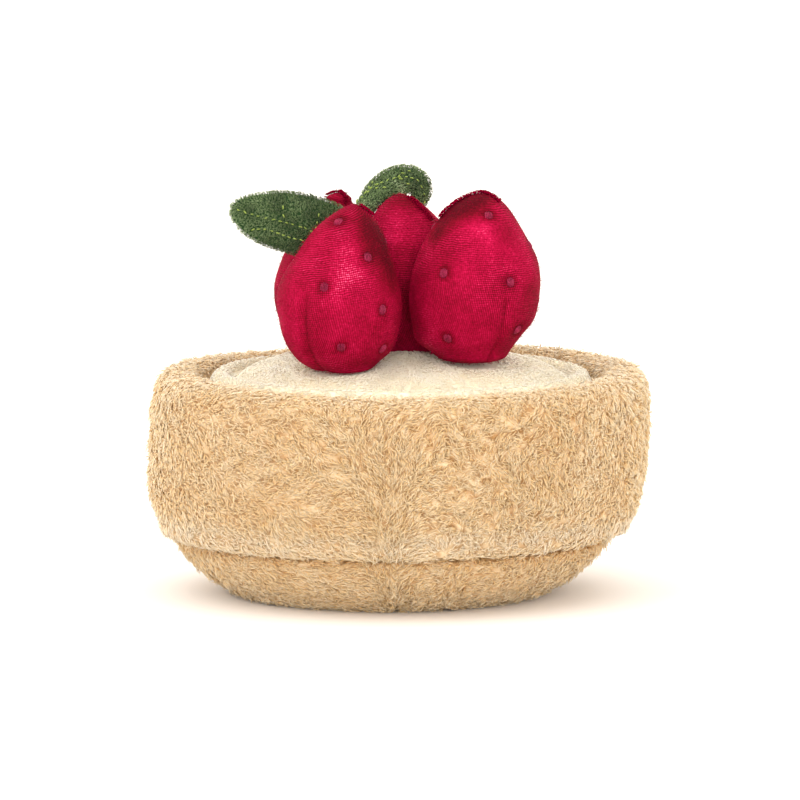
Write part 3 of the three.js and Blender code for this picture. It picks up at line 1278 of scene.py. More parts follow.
    def _grow(self, name: str, cloth: Cloth, seed: int, share: float = 1.0) -> None:
        """Grow both layers of the crust's pile on one stretch of cloth.

        Args:
            name: the piece's name.
            cloth: the stretch.
            seed: seed of its draws.
            share: share of the full density.
        """
        layers = []
        for pile, density, tone, layer_seed in (
            (self.pile, self.density, self.tone, seed),
            (self.lower_pile, self.lower_density, self.shaded_lower_tone, seed + 50),
        ):
            layers.append(Growth.on(cloth, pile, density * share, self.flow, tone, layer_seed, self.short))
            layers[-1].above(self.floor_gap)
        Piece(name, Finish.CRUST_PILE, self.slot).place(pile_mesh(name, layers))


# ---- Cream ---------------------------------------------------------------------------------


@dataclass
class Cream:
    """The cream: a round cushion with a welt along its edge and a low dome inside it."""

    crust: Crust
    radius: float = 75.9
    welt_radius: float = 72.0
    welt_height: float = 89.8
    crease_radius: float = 66.3
    crease_height: float = 86.6
    dome_height: float = 94.6
    dome_drop: float = 4.4
    shoulder_radius: float = 60.0
    tilt: float = 0.04
    backing_depth: float = 1.2
    pile: Pile = Pile(
        rise=0.6, run=1.8, width=0.5, joints=3, curl=0.2, lock=2.6, gather=0.1, stray=0.5, uneven=0.3
    )
    density: float = 1.28
    puff: tuple[float, float] = (5.0, -5.0)
    puff_radius: float = 15.0
    puff_height: float = 2.4
    bare_share: float = 0.42  # of a strawberry's radius, under which no pile grows
    fringe_at: float = 0.72  # the same, where the pile is longest
    fringe_width: float = 0.2
    fringe_rise: float = 0.9
    seed: int = 201
    slot: str = "cream_plush"

    def dome(self, places: Array) -> Array:
        """Find the dome's height on the leaning tart.

        Args:
            places: where to.

        Returns:
            The heights there.
        """
        crust = self.crust
        x = places[:, 0] - crust.lean * (self.dome_height - crust.lean_height) + crust.middle[0]
        y = places[:, 1] + crust.middle[1]
        drop = self.dome_drop * (np.hypot(x, y) / self.shoulder_radius) ** 4
        return self.dome_height - drop + self.tilt * y

    def shape(self) -> bmesh.types.BMesh:
        """Shape the cushion, out to the tips of its pile.

        Returns:
            Its mesh.
        """
        low = self.crust.core_top + CONTACT_GAP
        shares = np.array([0.9, 0.8, 0.65, 0.5, 0.35, 0.2, 0.08])
        dome = [(s * self.shoulder_radius, self.dome_height - self.dome_drop * s**4) for s in shares]
        edge = SmoothPath(
            [
                (self.crust.well_radius - 0.7, low), (self.radius - 0.9, 81), (self.radius, 84.4),
                (self.radius - 0.8, 87.8), (self.welt_radius, self.welt_height),
                (self.crease_radius + 2.4, self.welt_height - 1), (self.crease_radius, self.crease_height),
                (self.shoulder_radius + 2.6, 88.9), *dome, (0, self.dome_height),
            ]
        )
        outline = np.vstack([[(0, low), (30, low), (55, low)], edge.at(np.linspace(0, 1, 54))])
        outline[-1, 0] = 0
        bm = spun(outline, 120)
        places = places_of(bm)
        _, radius = round_axis(places)
        raised = smooth_step(self.crease_radius, self.shoulder_radius, radius)
        places[:, 2] += self.tilt * places[:, 1] * (raised * smooth_step(82, 88, places[:, 2]))
        places = self.crust.leaned(places)
        away = np.hypot(places[:, 0] - self.puff[0], places[:, 1] - self.puff[1]) / self.puff_radius
        places[:, 2] += self.puff_height * np.exp(-(away**2)) * smooth_step(82, 90, places[:, 2])
        move_to(bm, places)
        return bm

    def build(self, berries: Sequence["Berry"]) -> None:
        """Build the cushion and its pile.

        Args:
            berries: the strawberries that stand on it.
        """
        bm = self.shape()
        places = places_of(bm)
        sink(bm, 0.2 + self.backing_depth * smooth_step(82, 88, places[:, 2]))
        cloth = Cloth.of(bm).where(lambda at: at[:, 2] > 84)

        def share_out(places: Array) -> Array:
            """Return how far out places are from the nearest strawberry's middle, in its radii."""
            x, y = places[:, 0], places[:, 1]
            return np.min([np.hypot(x - berry.x, y - berry.y) / berry.radius for berry in berries], axis=0)

        def fringe(places: Array) -> Array:
            """Return the share of the full rise, which is more round the strawberries."""
            away = (share_out(places) - self.fringe_at) / self.fringe_width
            return 1 + self.fringe_rise * np.exp(-(away**2))

        growth = Growth.on(cloth, self.pile, self.density, self._flow, self._tone, self.seed, fringe)
        growth.without(share_out(growth.spines[:, 0]) < self.bare_share)
        Piece("cream_pile", Finish.CREAM_PILE, self.slot).place(pile_mesh("cream_pile", [growth]))
        cushion = Piece("cream_cushion", Finish.CREAM_BACKING, self.slot, ("cream_filling",), fill=0.7)
        cushion.place_shape(bm)

    @staticmethod
    def _flow(places: Array, normals: Array) -> Array:
        """Return the way that the cream's pile lies."""
        return tangent_heading(normals, 2.2 * WaveField(41, 40).at(places))

    @staticmethod
    def _tone(places: Array) -> Array:
        """Return the tone of the cream's pile."""
        return 0.55 + 0.12 * WaveField(42, 26).at(places)


# ---- Strawberries --------------------------------------------------------------------------


@dataclass(frozen=True)
class Seam:
    """A seam up a strawberry, at an angle from -Y towards +X: a groove with painted shade along it, or a lip
    if its depth is negative.
    """

    angle: float
    low: float
    high: float
    depth: float
    half_width: float
    drift: float = 0.0  # degrees by which it turns on its way up


@dataclass(frozen=True)
class Patch:
    """A soft-edged patch of a strawberry: painted highlight and painted shade on its velour, or fullness of
    its body.
    """

    angle: float
    level: float
    wide: float  # half its width, in degrees
    tall: float  # half its height, as a share
    # on the velour, an amount above 0 is painted highlight and one below 0 painted shade
    amount: float  # of lightness, or of millimetres outwards; the contrary below 0

    def at(self, angle: Array, height: Array) -> Array:
        """Work out the patch at places.

        Args:
            angle: their directions in radians.
            height: their shares of the height.

        Returns:
            Its amount in its middle, falling to 0.
        """
        around = half_turn(angle - math.radians(self.angle))
        away = (around / math.radians(self.wide)) ** 2 + ((height - self.level) / self.tall) ** 2
        return self.amount * np.exp(-(away**1.3))


def add_up(patches: Sequence[Patch], angle: Array, height: Array) -> Array:
    """Return what patches come to at directions in radians and shares of the height."""
    return sum((patch.at(angle, height) for patch in patches), np.zeros(len(angle)))


@dataclass
class Berry:
    """One strawberry of knitted velour, pressed against its neighbours."""

    name: str
    x: float
    y: float
    z: float
    radius: float
    height: float
    lean: tuple[float, float]
    blunt: float
    seeds: tuple[tuple[float, float], ...]
    seams: tuple[Seam, ...] = ()
    # painted highlights, above 0, and painted shade, below 0, on the velour
    light_and_shade_patches: tuple[Patch, ...] = ()
    bulges: tuple[Patch, ...] = ()
    frays: tuple[tuple[float, float, float], ...] = ()  # each a seam's angle with its lower and upper share
    rib_slope: float = 0.0
    widest_at: float = 0.42
    foot_powers: tuple[float, float] = (2.2, 0.45)
    tip_power: float = 1.7
    softness: float = 1.4

    def taper(self, height: Array) -> Array:
        """Narrow the strawberry towards its foot and its tip.

        Args:
            height: shares of the height.

        Returns:
            Shares of the full radius.
        """
        below = np.clip((self.widest_at - height) / self.widest_at, 0, 1)
        above = np.clip((height - self.widest_at) / (1 - self.widest_at), 0, 1)
        foot = (1 - below ** self.foot_powers[0]) ** self.foot_powers[1]
        return np.where(height < self.widest_at, foot, (1 - above**self.tip_power) ** self.blunt)

    def free(self, angle: Array, height: Array, swell: Array = 0.0) -> Array:
        """Place points on the strawberry as if nothing pressed on it.

        Args:
            angle: from -Y towards +X, in radians.
            height: shares of the height.
            swell: how far each stands out of the plain shape.

        Returns:
            The places.
        """
        radius = self.radius * self.taper(height) + swell
        return np.stack(
            [
                self.x + self.lean[0] * height**2 + radius * np.sin(angle),
                self.y + self.lean[1] * height**2 - radius * np.cos(angle),
                self.z + self.height * height,
            ],
            axis=-1,
        )

    def pressed(self, places: Array, others: Iterable["Berry"]) -> Array:
        """Press places back from the planes that part this strawberry from others.

        Args:
            places: places on its free shape.
            others: the strawberries of the group.

        Returns:
            The same places, moved.
        """
        for other in others:
            if other is self:
                continue
            away = np.array([other.x - self.x, other.y - self.y])
            distance = float(np.linalg.norm(away))
            away /= distance
            reach = distance * self.radius / (self.radius + other.radius) - CONTACT_GAP / 2
            along = (places[:, :2] - (self.x, self.y)) @ away
            kept = -self.softness * np.log1p(np.exp((reach - along) / self.softness))
            places[:, :2] += away * (reach + kept - along)[:, None]
        return places


@dataclass
class BerryGroup:
    """The strawberries on the cream, with their stitched seeds."""

    cream: Cream
    berries: list[Berry] = field(default_factory=list)
    around: int = 160
    rings: int = 100
    seed_width: float = 1.85
    seed_length: float = 2.25
    dimple_depth: float = 0.8
    dimple_radius: float = 2.7
    fold_depth: float = 0.12
    seed_rise: float = 0.15
    thread_half_width: float = 0.34
    seed_threads: tuple[float, ...] = (-0.78, -0.4, 0.0, 0.4, 0.78)  # places across it, in its half width
    free_by: float = 0.3  # how far a seed's place may be pressed aside
    pile: Pile = Pile(
        rise=0.75, run=0.7, width=0.2, joints=3, curl=0.1, lock=2.0, gather=0.1, stray=0.8, uneven=0.4
    )
    density: float = 0.25
    fray_pile: Pile = Pile(
        rise=0.9, run=0.7, width=0.5, joints=3, curl=0.2, lock=1.5, gather=0.1, stray=1.2, uneven=0.5
    )
    fray_density: float = 9.0
    seed: int = 301
    fray_seed: int = 320
    slot: str = "berry_velour"

    def place(self, berry: Berry, angle: Array, height: Array, swell: Array = 0.0) -> Array:
        """Place points on a strawberry between its neighbours and on the cream.

        Args:
            berry: the strawberry.
            angle: from -Y towards +X, in radians.
            height: shares of the height.
            swell: how far each stands out of the plain shape.

        Returns:
            The places.
        """
        places = berry.pressed(berry.free(angle, height, swell), self.berries)
        places[:, 2] = np.maximum(places[:, 2], self.cream.dome(places) + CONTACT_GAP)
        return places

    def clear_seeds(self, berry: Berry) -> list[tuple[float, float]]:
        """Choose the seeds that stand clear of what presses on a strawberry.

        Args:
            berry: the strawberry.

        Returns:
            Their angles in radians and shares of the height.
        """
        spots = [(math.radians(angle), height) for angle, height in berry.seeds]
        angle, height = np.array(spots).T
        moved = np.linalg.norm(berry.free(angle, height) - self.place(berry, angle, height), axis=1)
        return [spot for spot, away in zip(spots, moved) if away < self.free_by]

    def build(self) -> None:
        """Build the strawberries, their seeds and their fuzz."""
        seeds = bmesh.new()
        for number, berry in enumerate(self.berries):
            bm = self._body(berry)
            cloth = Cloth.of(bm)
            fuzz = [Growth.on(cloth, self.pile, self.density, self._flow, self._tone, self.seed + number)]
            for fray_number, fray in enumerate(berry.frays):
                edge = cloth.where(lambda at, berry=berry, fray=fray: self._along(berry, at, *fray))
                seed = self.fray_seed + 10 * number + fray_number
                fuzz.append(
                    Growth.on(edge, self.fray_pile, self.fray_density, self._flow, self._fray_tone, seed)
                )
            name = f"{berry.name}_fuzz"
            Piece(name, Finish.BERRY_PILE, self.slot).place(pile_mesh(name, fuzz))
            velour = Piece(f"{berry.name}_velour", Finish.VELOUR, self.slot, (berry.name,), fill=0.9)
            velour.place_shape(bm)
            for angle, height in self.clear_seeds(berry):
                self._seed(seeds, berry, angle, height)
        Piece("berry_seeds", Finish.SEED, self.slot).place_shape(seeds)

    def _body(self, berry: Berry) -> bmesh.types.BMesh:
        """Shape a strawberry's velour, with its seams, its dimples and its weave map.

        Args:
            berry: the strawberry.

        Returns:
            Its mesh.
        """
        bm = bmesh.new()
        bmesh.ops.create_uvsphere(bm, u_segments=self.around, v_segments=self.rings, radius=1.0)
        ball = places_of(bm)
        height = (ball[:, 2] + 1) / 2
        angle = np.arctan2(ball[:, 0], -ball[:, 1])
        swell, pucker = np.zeros(len(ball)), np.zeros(len(ball))
        for seam in berry.seams:
            swell_here, shade = self._seam(berry, seam, angle, height)
            swell += swell_here
            # painted shade along the seams' grooves
            pucker = np.maximum(pucker, shade)
        plain = berry.free(angle, height)
        for seed_angle, seed_height in self.clear_seeds(berry):
            spot = berry.free(np.array([seed_angle]), np.array([seed_height]))
            away = np.linalg.norm(plain - spot, axis=1) / self.dimple_radius
            swell -= self.dimple_depth * np.exp(-(away**2))
            # painted shade in the seed's dimple
            pucker = np.maximum(pucker, np.exp(-((away / 1.12) ** 2.6)))
        swell += add_up(berry.bulges, angle, height)
        folds = WaveField(51, 17).at(plain)
        swell += self.fold_depth * folds * smooth_step(0.0, 0.2, height)
        # painted highlights and painted shade of the nap, with random patches
        nap = add_up(berry.light_and_shade_patches, angle, height) + 0.15 * WaveField(52, 19).at(plain)
        # the knit shows less in the painted shade
        plainer = 1 - 0.6 * smooth_step(-0.2, -1.0, nap)
        ribbed = (0.3 + 0.4 * smooth_step(0.3, 0.6, height) + 0.4 * WaveField(54, 22).at(plain)) * plainer
        waled = (0.4 + 0.5 * smooth_step(0.6, 0.3, height) + 0.3 * WaveField(55, 22).at(plain)) * plainer
        self._weave(bm, berry, angle, height)
        set_shares(bm, "nap", np.clip(nap, -1.4, 1.4))
        set_shares(bm, "ribbed", np.clip(ribbed, 0.1, 1.5))
        set_shares(bm, "waled", np.clip(waled, 0.1, 1.2))
        set_shares(bm, "pucker", pucker)
        move_to(bm, self.place(berry, angle, height, swell))
        return bm

    @staticmethod
    def _seam(berry: Berry, seam: Seam, angle: Array, height: Array) -> tuple[Array, Array]:
        """Work out a seam.

        Args:
            berry: the strawberry.
            seam: its seam.
            angle: directions in radians.
            height: shares of the height.

        Returns:
            How far it moves the velour outwards, and the painted shade along its groove.
        """
        around = half_turn(angle - np.radians(seam.angle + seam.drift * height))
        away = around * berry.radius * np.maximum(berry.taper(height), 0.3)
        reach = smooth_step(seam.low - 0.04, seam.low + 0.04, height) * smooth_step(
            seam.high + 0.04, seam.high - 0.06, height
        )
        shape = np.exp(-((away / seam.half_width) ** 2))
        # the line of painted shade along a groove
        shade_line = np.exp(-((away / 0.5) ** 2))
        return -seam.depth * shape * reach, (0.55 * shade_line * reach if seam.depth > 0 else 0 * shade_line)

    @staticmethod
    def _along(berry: Berry, places: Array, angle: float, low: float, high: float) -> Array:
        """Find the places along a stretch of a seam.

        Args:
            berry: the strawberry.
            places: the places.
            angle: the seam's, in degrees.
            low: where the stretch starts, as a share of the height.
            high: where it ends.

        Returns:
            Whether each lies within a millimetre or so of it.
        """
        height = (places[:, 2] - berry.z) / berry.height
        x = places[:, 0] - berry.x - berry.lean[0] * height**2
        y = places[:, 1] - berry.y - berry.lean[1] * height**2
        around = half_turn(np.arctan2(x, -y) - math.radians(angle))
        return (np.abs(around) * np.hypot(x, y) < 1.1) & (height > low) & (height < high)

    @staticmethod
    def _fray_tone(places: Array) -> Array:
        """Return the tone of a frayed edge, which is dark."""
        return np.full(len(places), 0.22)

    @staticmethod
    def _weave(bm: bmesh.types.BMesh, berry: Berry, angle: Array, height: Array) -> None:
        """Give a strawberry its weave map, in millimetres.

        Args:
            bm: its mesh.
            berry: the strawberry.
            angle: the direction of each vertex, in radians.
            height: its share of the height.
        """
        layer = bm.loops.layers.uv.new(WEAVE_MAP)
        bm.verts.index_update()
        arc = height * berry.height * 1.12
        for face in bm.faces:
            turns = [float(angle[loop.vert.index]) for loop in face.loops]
            if max(turns) - min(turns) > math.pi:
                turns = [turn + TURN if turn < 0 else turn for turn in turns]
            for loop, turn in zip(face.loops, turns):
                round_it = turn * berry.radius
                loop[layer].uv = (round_it, float(arc[loop.vert.index]) + round_it * berry.rib_slope)

    def _seed(self, bm: bmesh.types.BMesh, berry: Berry, angle: float, height: float) -> None:
        """Add one satin-stitched seed.

        Args:
            bm: the mesh of all seeds.
            berry: the strawberry.
            angle: the seed's, in radians.
            height: its share of the height.
        """
        angles, heights = np.array([angle, angle, angle + 0.02]), np.array([height, height + 0.01, height])
        spots = self.place(berry, angles, heights, add_up(berry.bulges, angles, heights))
        up = unit(spots[1] - spots[0])
        outward = unit(np.cross(spots[2] - spots[0], up))
        across = np.cross(up, outward)
        middle = spots[0] - outward * (self.dimple_depth - self.seed_rise)
        for share in self.seed_threads:
            rise = math.sqrt(1 - share * share)
            half = (self.seed_length * (0.35 + 0.65 * rise), self.thread_half_width, 0.75 + 0.3 * rise)
            stitch(bm, middle + across * share * self.seed_width * 0.85, up, outward, half)

    @staticmethod
    def _flow(places: Array, normals: Array) -> Array:
        """Return the way that the velour's fuzz lies."""
        return tangent_heading(normals, 2.5 * WaveField(61, 20).at(places))

    @staticmethod
    def _tone(places: Array) -> Array:
        """Return the tone of the velour's fuzz."""
        return 0.5 + 0.12 * WaveField(62, 15).at(places)


def strawberries() -> list[Berry]:
    """List the strawberries of the tart.

    Returns:
        The four.
    """
    return [
        Berry(
            "berry_front_left", -23.2, -26, 90.0, 24.8, 67.8, (5.6, 2.0), 0.68,
            seeds=(
                (-31, 0.91), (27, 0.716), (-19, 0.55), (42, 0.41), (1.5, 0.195), (56, 0.17),
                (-100, 0.3), (-104, 0.66), (-140, 0.46), (92, 0.78), (112, 0.52), (-158, 0.8),
            ),
            seams=(
                Seam(-34, 0.0, 0.5, 1.2, 2.2, drift=-6), Seam(84, 0.1, 0.97, -0.5, 1.1),
                Seam(-155, 0.0, 0.97, 0.8, 1.4),
            ),
            # painted highlights, above 0, and painted shade, below 0
            light_and_shade_patches=(
                Patch(44, 0.86, 30, 0.13, -1.7), Patch(62, 0.68, 22, 0.16, -1.6),
                Patch(4, 0.62, 26, 0.17, 0.5), Patch(-60, 0.3, 20, 0.3, 0.35),
                Patch(-38, 0.25, 7, 0.22, -0.5), Patch(78, 0.45, 14, 0.2, -0.5),
                Patch(-20, 0.97, 60, 0.06, -0.3), Patch(150, 0.5, 40, 0.25, 0.5),
            ),
            bulges=(
                Patch(85, 0.66, 48, 0.2, -2.4), Patch(85, 0.36, 45, 0.16, -0.9),
                Patch(-80, 0.52, 40, 0.14, 1.6), Patch(-60, 0.86, 50, 0.1, 0.8),
                Patch(60, 0.09, 34, 0.035, -0.6), Patch(40, 0.0, 50, 0.05, 3.8),
                Patch(-50, 0.0, 45, 0.06, -1.5),
            ),
            frays=((84, 0.93, 0.99),),
            rib_slope=-0.12,
        ),
        Berry(
            "berry_front_right", 29.2, -12, 93.6, 26.0, 67.1, (3.8, 1.5), 0.55,
            seeds=(
                (15, 0.89), (-31, 0.56), (33.6, 0.506), (-27, 0.17), (52, 0.21), (96, 0.36),
                (88, 0.7), (128, 0.55), (118, 0.2), (150, 0.8), (166, 0.4), (-100, 0.8),
            ),
            seams=(
                Seam(27, 0.0, 0.42, 0.8, 1.6, drift=6), Seam(-76, 0.1, 0.95, -0.8, 1.3),
                Seam(140, 0.0, 0.97, 0.8, 1.4),
            ),
            # painted highlights, above 0, and painted shade, below 0
            light_and_shade_patches=(
                Patch(-70, 0.89, 36, 0.11, -1.2), Patch(-32, 0.95, 42, 0.085, -1.3),
                Patch(15, 1.0, 40, 0.06, -1.1), Patch(-62, 0.76, 13, 0.05, -0.9),
                Patch(5, 0.76, 28, 0.13, 0.4), Patch(-10, 0.35, 30, 0.25, 0.2),
                Patch(52, 0.25, 20, 0.22, -0.3), Patch(80, 0.5, 22, 0.3, -0.3),
                Patch(160, 0.6, 40, 0.2, 0.5),
            ),
            bulges=(
                Patch(80, 0.83, 44, 0.14, -1.5), Patch(80, 0.57, 44, 0.12, 0.7),
                Patch(80, 0.14, 44, 0.08, -1.9), Patch(-85, 0.94, 50, 0.06, 0.4),
                Patch(-85, 0.13, 44, 0.07, 2.0), Patch(0, 0.0, 200, 0.05, 3.8),
            ),
            frays=((-76, 0.86, 1.0), (60, 0.95, 1.0), (150, 0.92, 1.0)),
            rib_slope=0.02,
        ),
        Berry(
            "berry_middle", 6.5, 16, 91.0, 24.6, 66.8, (-5.8, 1.0), 0.66,
            seeds=(
                (110, 0.82), (132, 0.45), (160, 0.66), (178, 0.28), (-166, 0.86), (150, 0.16), (-150, 0.5),
            ),
            seams=(
                Seam(52, 0.2, 0.98, -0.7, 1.2), Seam(-120, 0.0, 0.97, 0.7, 1.3),
                Seam(165, 0.0, 0.97, 0.7, 1.3),
            ),
            # painted highlights, above 0, and painted shade, below 0
            light_and_shade_patches=(
                Patch(0, 0.98, 90, 0.07, -0.7), Patch(-8, 0.8, 34, 0.1, 0.6),
                Patch(60, 0.8, 14, 0.16, -0.5), Patch(0, 0.4, 60, 0.25, -0.5),
                Patch(150, 0.55, 40, 0.2, 0.5),
            ),
            bulges=(Patch(0, 0.0, 200, 0.05, 3.0),),
            frays=((52, 0.85, 0.98),),
        ),
        Berry(
            "berry_rear_left", -24.8, 35, 90.2, 25.2, 66.2, (1.6, -0.5), 0.9,
            seeds=(
                (-72, 0.3), (-78, 0.72), (-118, 0.5), (-124, 0.18), (-150, 0.78), (-170, 0.34),
                (168, 0.6), (150, 0.2), (128, 0.46), (118, 0.78), (92, 0.26), (-30, 0.82),
            ),
            seams=(
                Seam(-95, 0.0, 0.97, 0.8, 1.4), Seam(30, 0.0, 0.97, 0.8, 1.4),
                Seam(160, 0.0, 0.97, 0.8, 1.4),
            ),
            # painted highlights, above 0, and painted shade, below 0
            light_and_shade_patches=(
                Patch(0, 0.96, 70, 0.08, -0.7), Patch(-140, 0.6, 40, 0.2, 0.6),
                Patch(120, 0.4, 40, 0.25, 0.3),
            ),
            bulges=(
                Patch(0, 0.72, 200, 0.14, 0.8), Patch(0, 0.9, 200, 0.03, -1.2),
                Patch(-90, 0.92, 80, 0.035, -2.2), Patch(0, 0.975, 200, 0.022, 1.8),
                Patch(-90, 0.985, 70, 0.02, 1.6), Patch(0, 0.0, 200, 0.05, 3.0),
            ),
            frays=((-95, 0.95, 1.0), (30, 0.95, 1.0)),
            rib_slope=0.05,
        ),
    ]


# ---- Leaves --------------------------------------------------------------------------------


@dataclass
class Leaf:
    """A stuffed leaf along a curved midrib, with stitched veins."""

    name: str
    half_width: float
    half_thickness: float
    midrib: tuple[tuple[float, float, float], ...]
    across: tuple[tuple[float, float, float], ...]
    veins: tuple[tuple[tuple[float, float], ...], ...]
    # the ramp between them paints shade: darker towards the base of the left leaf, by the strawberry, and
    # towards the hooked tip of the curled leaf
    tones: tuple[float, float]  # of the pile, at the base and at the tip
    seed: int
    around: int = 48
    rings: int = 48
    backing_depth: float = 1.2
    pile: Pile = Pile(
        rise=1.15, run=1.1, width=0.32, joints=3, curl=0.2, lock=1.2, gather=0.2, stray=0.6, uneven=0.3
    )
    density: float = 5.2
    stitch_step: float = 2.6
    thread_half: tuple[float, float] = (0.27, 0.38)  # half its width and height
    edge_swell: float = 0.1
    sewing_seed: int = 71
    slot: str = "leaf_plush"

    def __post_init__(self) -> None:
        """Work out the curves."""
        self.spine = SmoothPath(self.midrib)
        self.ways = SmoothPath(self.across)

    def place(self, along: Array, side: Array, face: Array) -> tuple[Array, Array, Array]:
        """Place points on the leaf.

        Args:
            along: shares of the midrib, from base to tip.
            side: across the blade, in half widths.
            face: out of the blade, in half thicknesses.

        Returns:
            The places, the headings of the midrib and the ways out of the blade there.
        """
        middle, ahead = self.spine.at(along), self.spine.heading(along)
        width = self.ways.by_step(along)
        width = unit(width - ahead * (width * ahead).sum(axis=-1, keepdims=True))
        out = np.cross(ahead, width)
        places = middle + width * side[:, None] * self.half_width + out * face[:, None] * self.half_thickness
        return places, ahead, out

    def build(self, threads: bmesh.types.BMesh) -> None:
        """Build the leaf, its pile and the stitches of its veins.

        Args:
            threads: the mesh that takes the stitches.
        """
        bm = bmesh.new()
        bmesh.ops.create_uvsphere(bm, u_segments=self.around, v_segments=self.rings, radius=1.0)
        ball = places_of(bm)
        rim = np.abs(ball[:, 0]) / np.maximum(np.hypot(ball[:, 0], ball[:, 1]), 1e-6)
        swell = 1 + self.edge_swell * np.cos(3 * np.arccos(np.clip(rim, 0, 1)))
        places, _, _ = self.place((1 - ball[:, 2]) / 2, ball[:, 0], ball[:, 1] * swell)
        move_to(bm, places)
        bmesh.ops.recalc_face_normals(bm, faces=bm.faces)
        sink(bm, np.full(len(places), self.backing_depth))
        growth = Growth.on(Cloth.of(bm), self.pile, self.density, self._flow, self._tone, self.seed)
        name = f"{self.name}_pile"
        Piece(name, Finish.LEAF_PILE, self.slot).place(pile_mesh(name, [growth]))
        blade = Piece(f"{self.name}_blade", Finish.LEAF_BACKING, self.slot, (self.name,), fill=0.6)
        blade.place_shape(bm)
        self._sew(threads)

    def _sew(self, threads: bmesh.types.BMesh) -> None:
        """Sew the veins on both faces.

        Args:
            threads: the mesh that takes the stitches.
        """
        draw = np.random.default_rng(self.sewing_seed)
        for vein in self.veins:
            run = SmoothPath([(along, side) for along, side in vein])
            spots, _, _ = self.place(*run.at(np.linspace(0, 1, 20)).T, np.zeros(20))
            steps = max(int(np.linalg.norm(np.diff(spots, axis=0), axis=1).sum() / self.stitch_step), 2)
            for face in (-1.0, 1.0):
                for number in range(steps):
                    along, side = run.at((number + 0.5) / steps)
                    behind, ahead = run.at(number / steps), run.at((number + 1) / steps)
                    height = self._height(along, side)
                    spots, _, outs = self.place(
                        np.array([along, behind[0], ahead[0]]),
                        np.array([side, behind[1], ahead[1]]),
                        face * np.array([height, self._height(*behind), self._height(*ahead)]),
                    )
                    way = unit(spots[2] - spots[1]) + draw.normal(0, 0.3, 3)
                    outward = outs[0] * face
                    middle = spots[0] + outward * draw.uniform(-0.25, 0.35)
                    middle += unit(way) * draw.uniform(-0.4, 0.4)
                    stitch(threads, middle, way, outward, (draw.uniform(0.6, 1.0), *self.thread_half))

    @staticmethod
    def _height(along: float, side: float) -> float:
        """Return the blade's height over its middle plane, in half thicknesses."""
        ring = 1 - (1 - 2 * along) ** 2
        return math.sqrt(max(ring - side * side, 0.0))

    def _flow(self, places: Array, normals: Array) -> Array:
        """Lay the leaf's pile towards its tip, and out at its edges.

        Args:
            places: where it grows.
            normals: the normals there.

        Returns:
            Its headings.
        """
        shares = self._along(places)
        sideways = unit(places - self.spine.at(shares))
        stray = np.stack([WaveField(81 + i, 7).at(places) for i in range(3)], axis=1)
        return unit(self.spine.heading(shares) + 0.5 * sideways + 0.6 * stray)

    def _tone(self, places: Array) -> Array:
        """Return the tone of the leaf's pile, with painted shade in its ramp from base to tip, and random
        patches.
        """
        base, tip = self.tones
        return base + (tip - base) * self._along(places) ** 2 + 0.14 * WaveField(91, 8).at(places)

    def _along(self, places: Array) -> Array:
        """Return the shares of the midrib that places are nearest to."""
        shares = np.linspace(0, 1, 60)
        return shares[np.linalg.norm(places[:, None] - self.spine.at(shares)[None], axis=2).argmin(axis=1)]


def leaves() -> list[Leaf]:
    """List the leaves of the tart.

    Returns:
        The two.
    """
    return [
        Leaf(
            "leaf_left", 12.8, 4.4,
            midrib=(
                (-8.8, -1.6, 137.8), (-20.5, -1, 142), (-38.4, -2, 147.2), (-55, -5, 150.7),
                (-67.2, -8, 154.2),
            ),
            across=((0.1, 0.1, 0.99), (0.2, 0.2, 0.96), (0.1, 0.3, 0.95)),
            veins=(
                ((0.3, -0.25), (0.5, -0.12), (0.97, 0.0)),
                ((0.64, 0.0), (0.65, 0.25), (0.66, 0.5)), ((0.42, -0.15), (0.42, 0.2), (0.42, 0.5)),
                ((0.36, -0.5), (0.58, -0.5), (0.74, -0.4), (0.84, -0.5)),
            ),
            # darker at the base: painted shade by the strawberry
            tones=(0.34, 0.76),
            seed=401,
        ),
        Leaf(
            "leaf_curled", 6.8, 4.4,
            midrib=(
                (-20, 13.2, 139), (-17.4, 17, 146.2), (-12, 24.6, 152.8), (-6.8, 30.5, 157.4),
                (-2.2, 34, 160.3), (2.2, 36, 161.4), (6.6, 37, 160.6), (9, 37.4, 155.6), (5.4, 37.8, 146.5),
            ),
            across=((0.2, 1, 0), (0.1, 1, 0.1), (0, 0.7, 0.6), (0.1, 0.2, 1), (0.9, 0.1, 0.5)),
            veins=(
                ((0.08, 0.0), (0.5, 0.0), (0.94, 0.0)),
                ((0.35, 0.0), (0.42, 0.3), (0.48, 0.55)), ((0.6, 0.0), (0.66, 0.3), (0.72, 0.5)),
                ((0.35, 0.0), (0.42, -0.3), (0.48, -0.55)), ((0.6, 0.0), (0.66, -0.3), (0.72, -0.5)),
            ),
            # darker towards the hooked tip: painted shade inside the curl
            tones=(0.72, 0.52),
            seed=402,
        ),
    ]


# ---- Studio --------------------------------------------------------------------------------


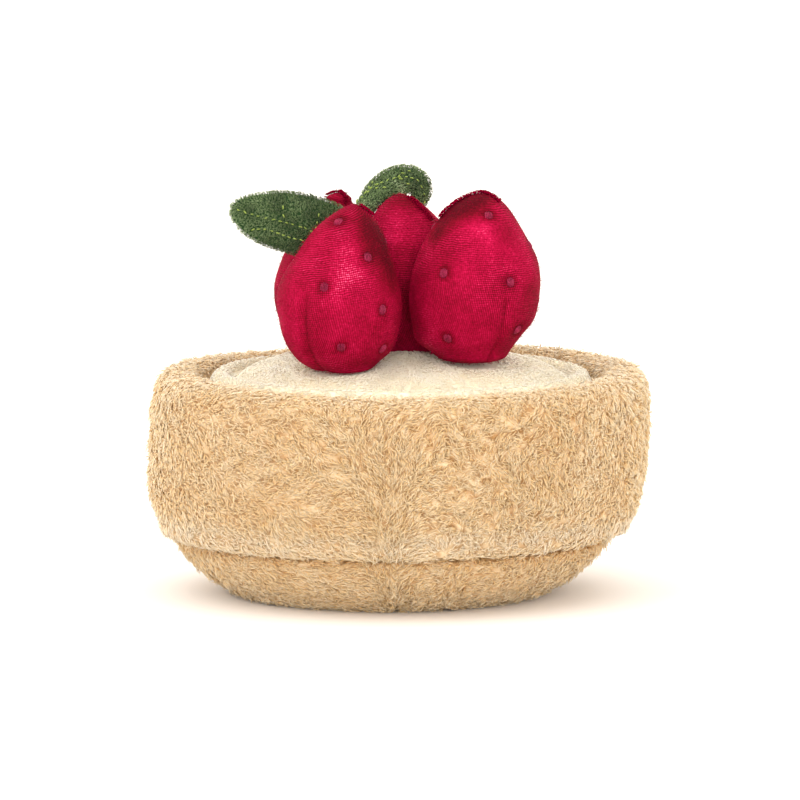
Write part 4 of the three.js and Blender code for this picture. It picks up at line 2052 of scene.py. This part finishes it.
@dataclass
class Studio:
    """A pale floor, soft light and the camera."""

    elevation: float = 6.85
    distance: float = 4.0
    target: tuple[float, float, float] = (0.00065, 0.0, 0.0769)
    frame_width: float = 0.31808
    sensor: float = 36.0
    world_light: float = 1.62
    world_colour: Colour = (1.0, 0.95, 0.88, 1)
    floor_colour: Colour = (0.93, 0.915, 0.9, 1)
    lamps: tuple[tuple[str, tuple[float, float, float], float, float], ...] = (
        ("key_light", (-1.4, -1.1, 1.6), 1.9, 12.0),
        ("fill_light", (0.1, -2.0, 0.05), 1.6, 30.0),
    )

    def build(self) -> None:
        """Build the studio."""
        self._floor()
        self._world()
        for name, place, size, power in self.lamps:
            self._lamp(name, place, size, power)
        self._camera()
        bpy.context.scene.view_settings.view_transform = "Standard"

    def _floor(self) -> None:
        """Lay the floor."""
        bm = bmesh.new()
        bmesh.ops.create_grid(bm, x_segments=1, y_segments=1, size=6.0)
        mesh = bpy.data.meshes.new("floor")
        bm.to_mesh(mesh)
        bm.free()
        shader = Shader("floor_paper")
        shader.surface.inputs["Base Color"].default_value = self.floor_colour
        shader.surface.inputs["Roughness"].default_value = 0.9
        mesh.materials.append(shader.material)
        add_object("floor", mesh)

    def _world(self) -> None:
        """Light the scene from all round."""
        world = bpy.data.worlds.new("studio")
        world.use_nodes = True
        background = world.node_tree.nodes["Background"]
        background.inputs["Color"].default_value = self.world_colour
        background.inputs["Strength"].default_value = self.world_light
        bpy.context.scene.world = world

    def _lamp(self, name: str, place: tuple[float, float, float], size: float, power: float) -> None:
        """Hang a soft lamp that faces the tart.

        Args:
            name: its name.
            place: where it hangs, in metres.
            size: how wide it is.
            power: its watts.
        """
        data = bpy.data.lights.new(name, "AREA")
        data.shape = "DISK"
        data.size = size
        data.energy = power
        lamp = add_object(name, data)
        lamp.location = place
        lamp.rotation_euler = (Vector(self.target) - Vector(place)).to_track_quat("-Z", "Y").to_euler()

    def _camera(self) -> None:
        """Set up the camera."""
        data = bpy.data.cameras.new("camera")
        data.sensor_width = self.sensor
        data.lens = self.sensor * self.distance / self.frame_width
        data.clip_end = 20.0
        camera = add_object("camera", data)
        tilt = math.radians(self.elevation)
        back = Vector((0, -math.cos(tilt), math.sin(tilt)))
        camera.location = Vector(self.target) + back * self.distance
        camera.rotation_euler = (math.pi / 2 - tilt, 0, 0)
        bpy.context.scene.camera = camera


def main() -> None:
    """Build the tart and its studio."""
    logging.basicConfig(level=logging.INFO, format="%(name)s %(message)s")
    crust = Crust()
    crust.build()
    cream = Cream(crust)
    group = BerryGroup(cream, strawberries())
    cream.build(group.berries)
    group.build()
    threads = bmesh.new()
    for leaf in leaves():
        leaf.build(threads)
    Piece("leaf_stitches", Finish.LEAF_THREAD, Leaf.slot).place_shape(threads)
    Studio().build()


if __name__ == "__main__":
    main()
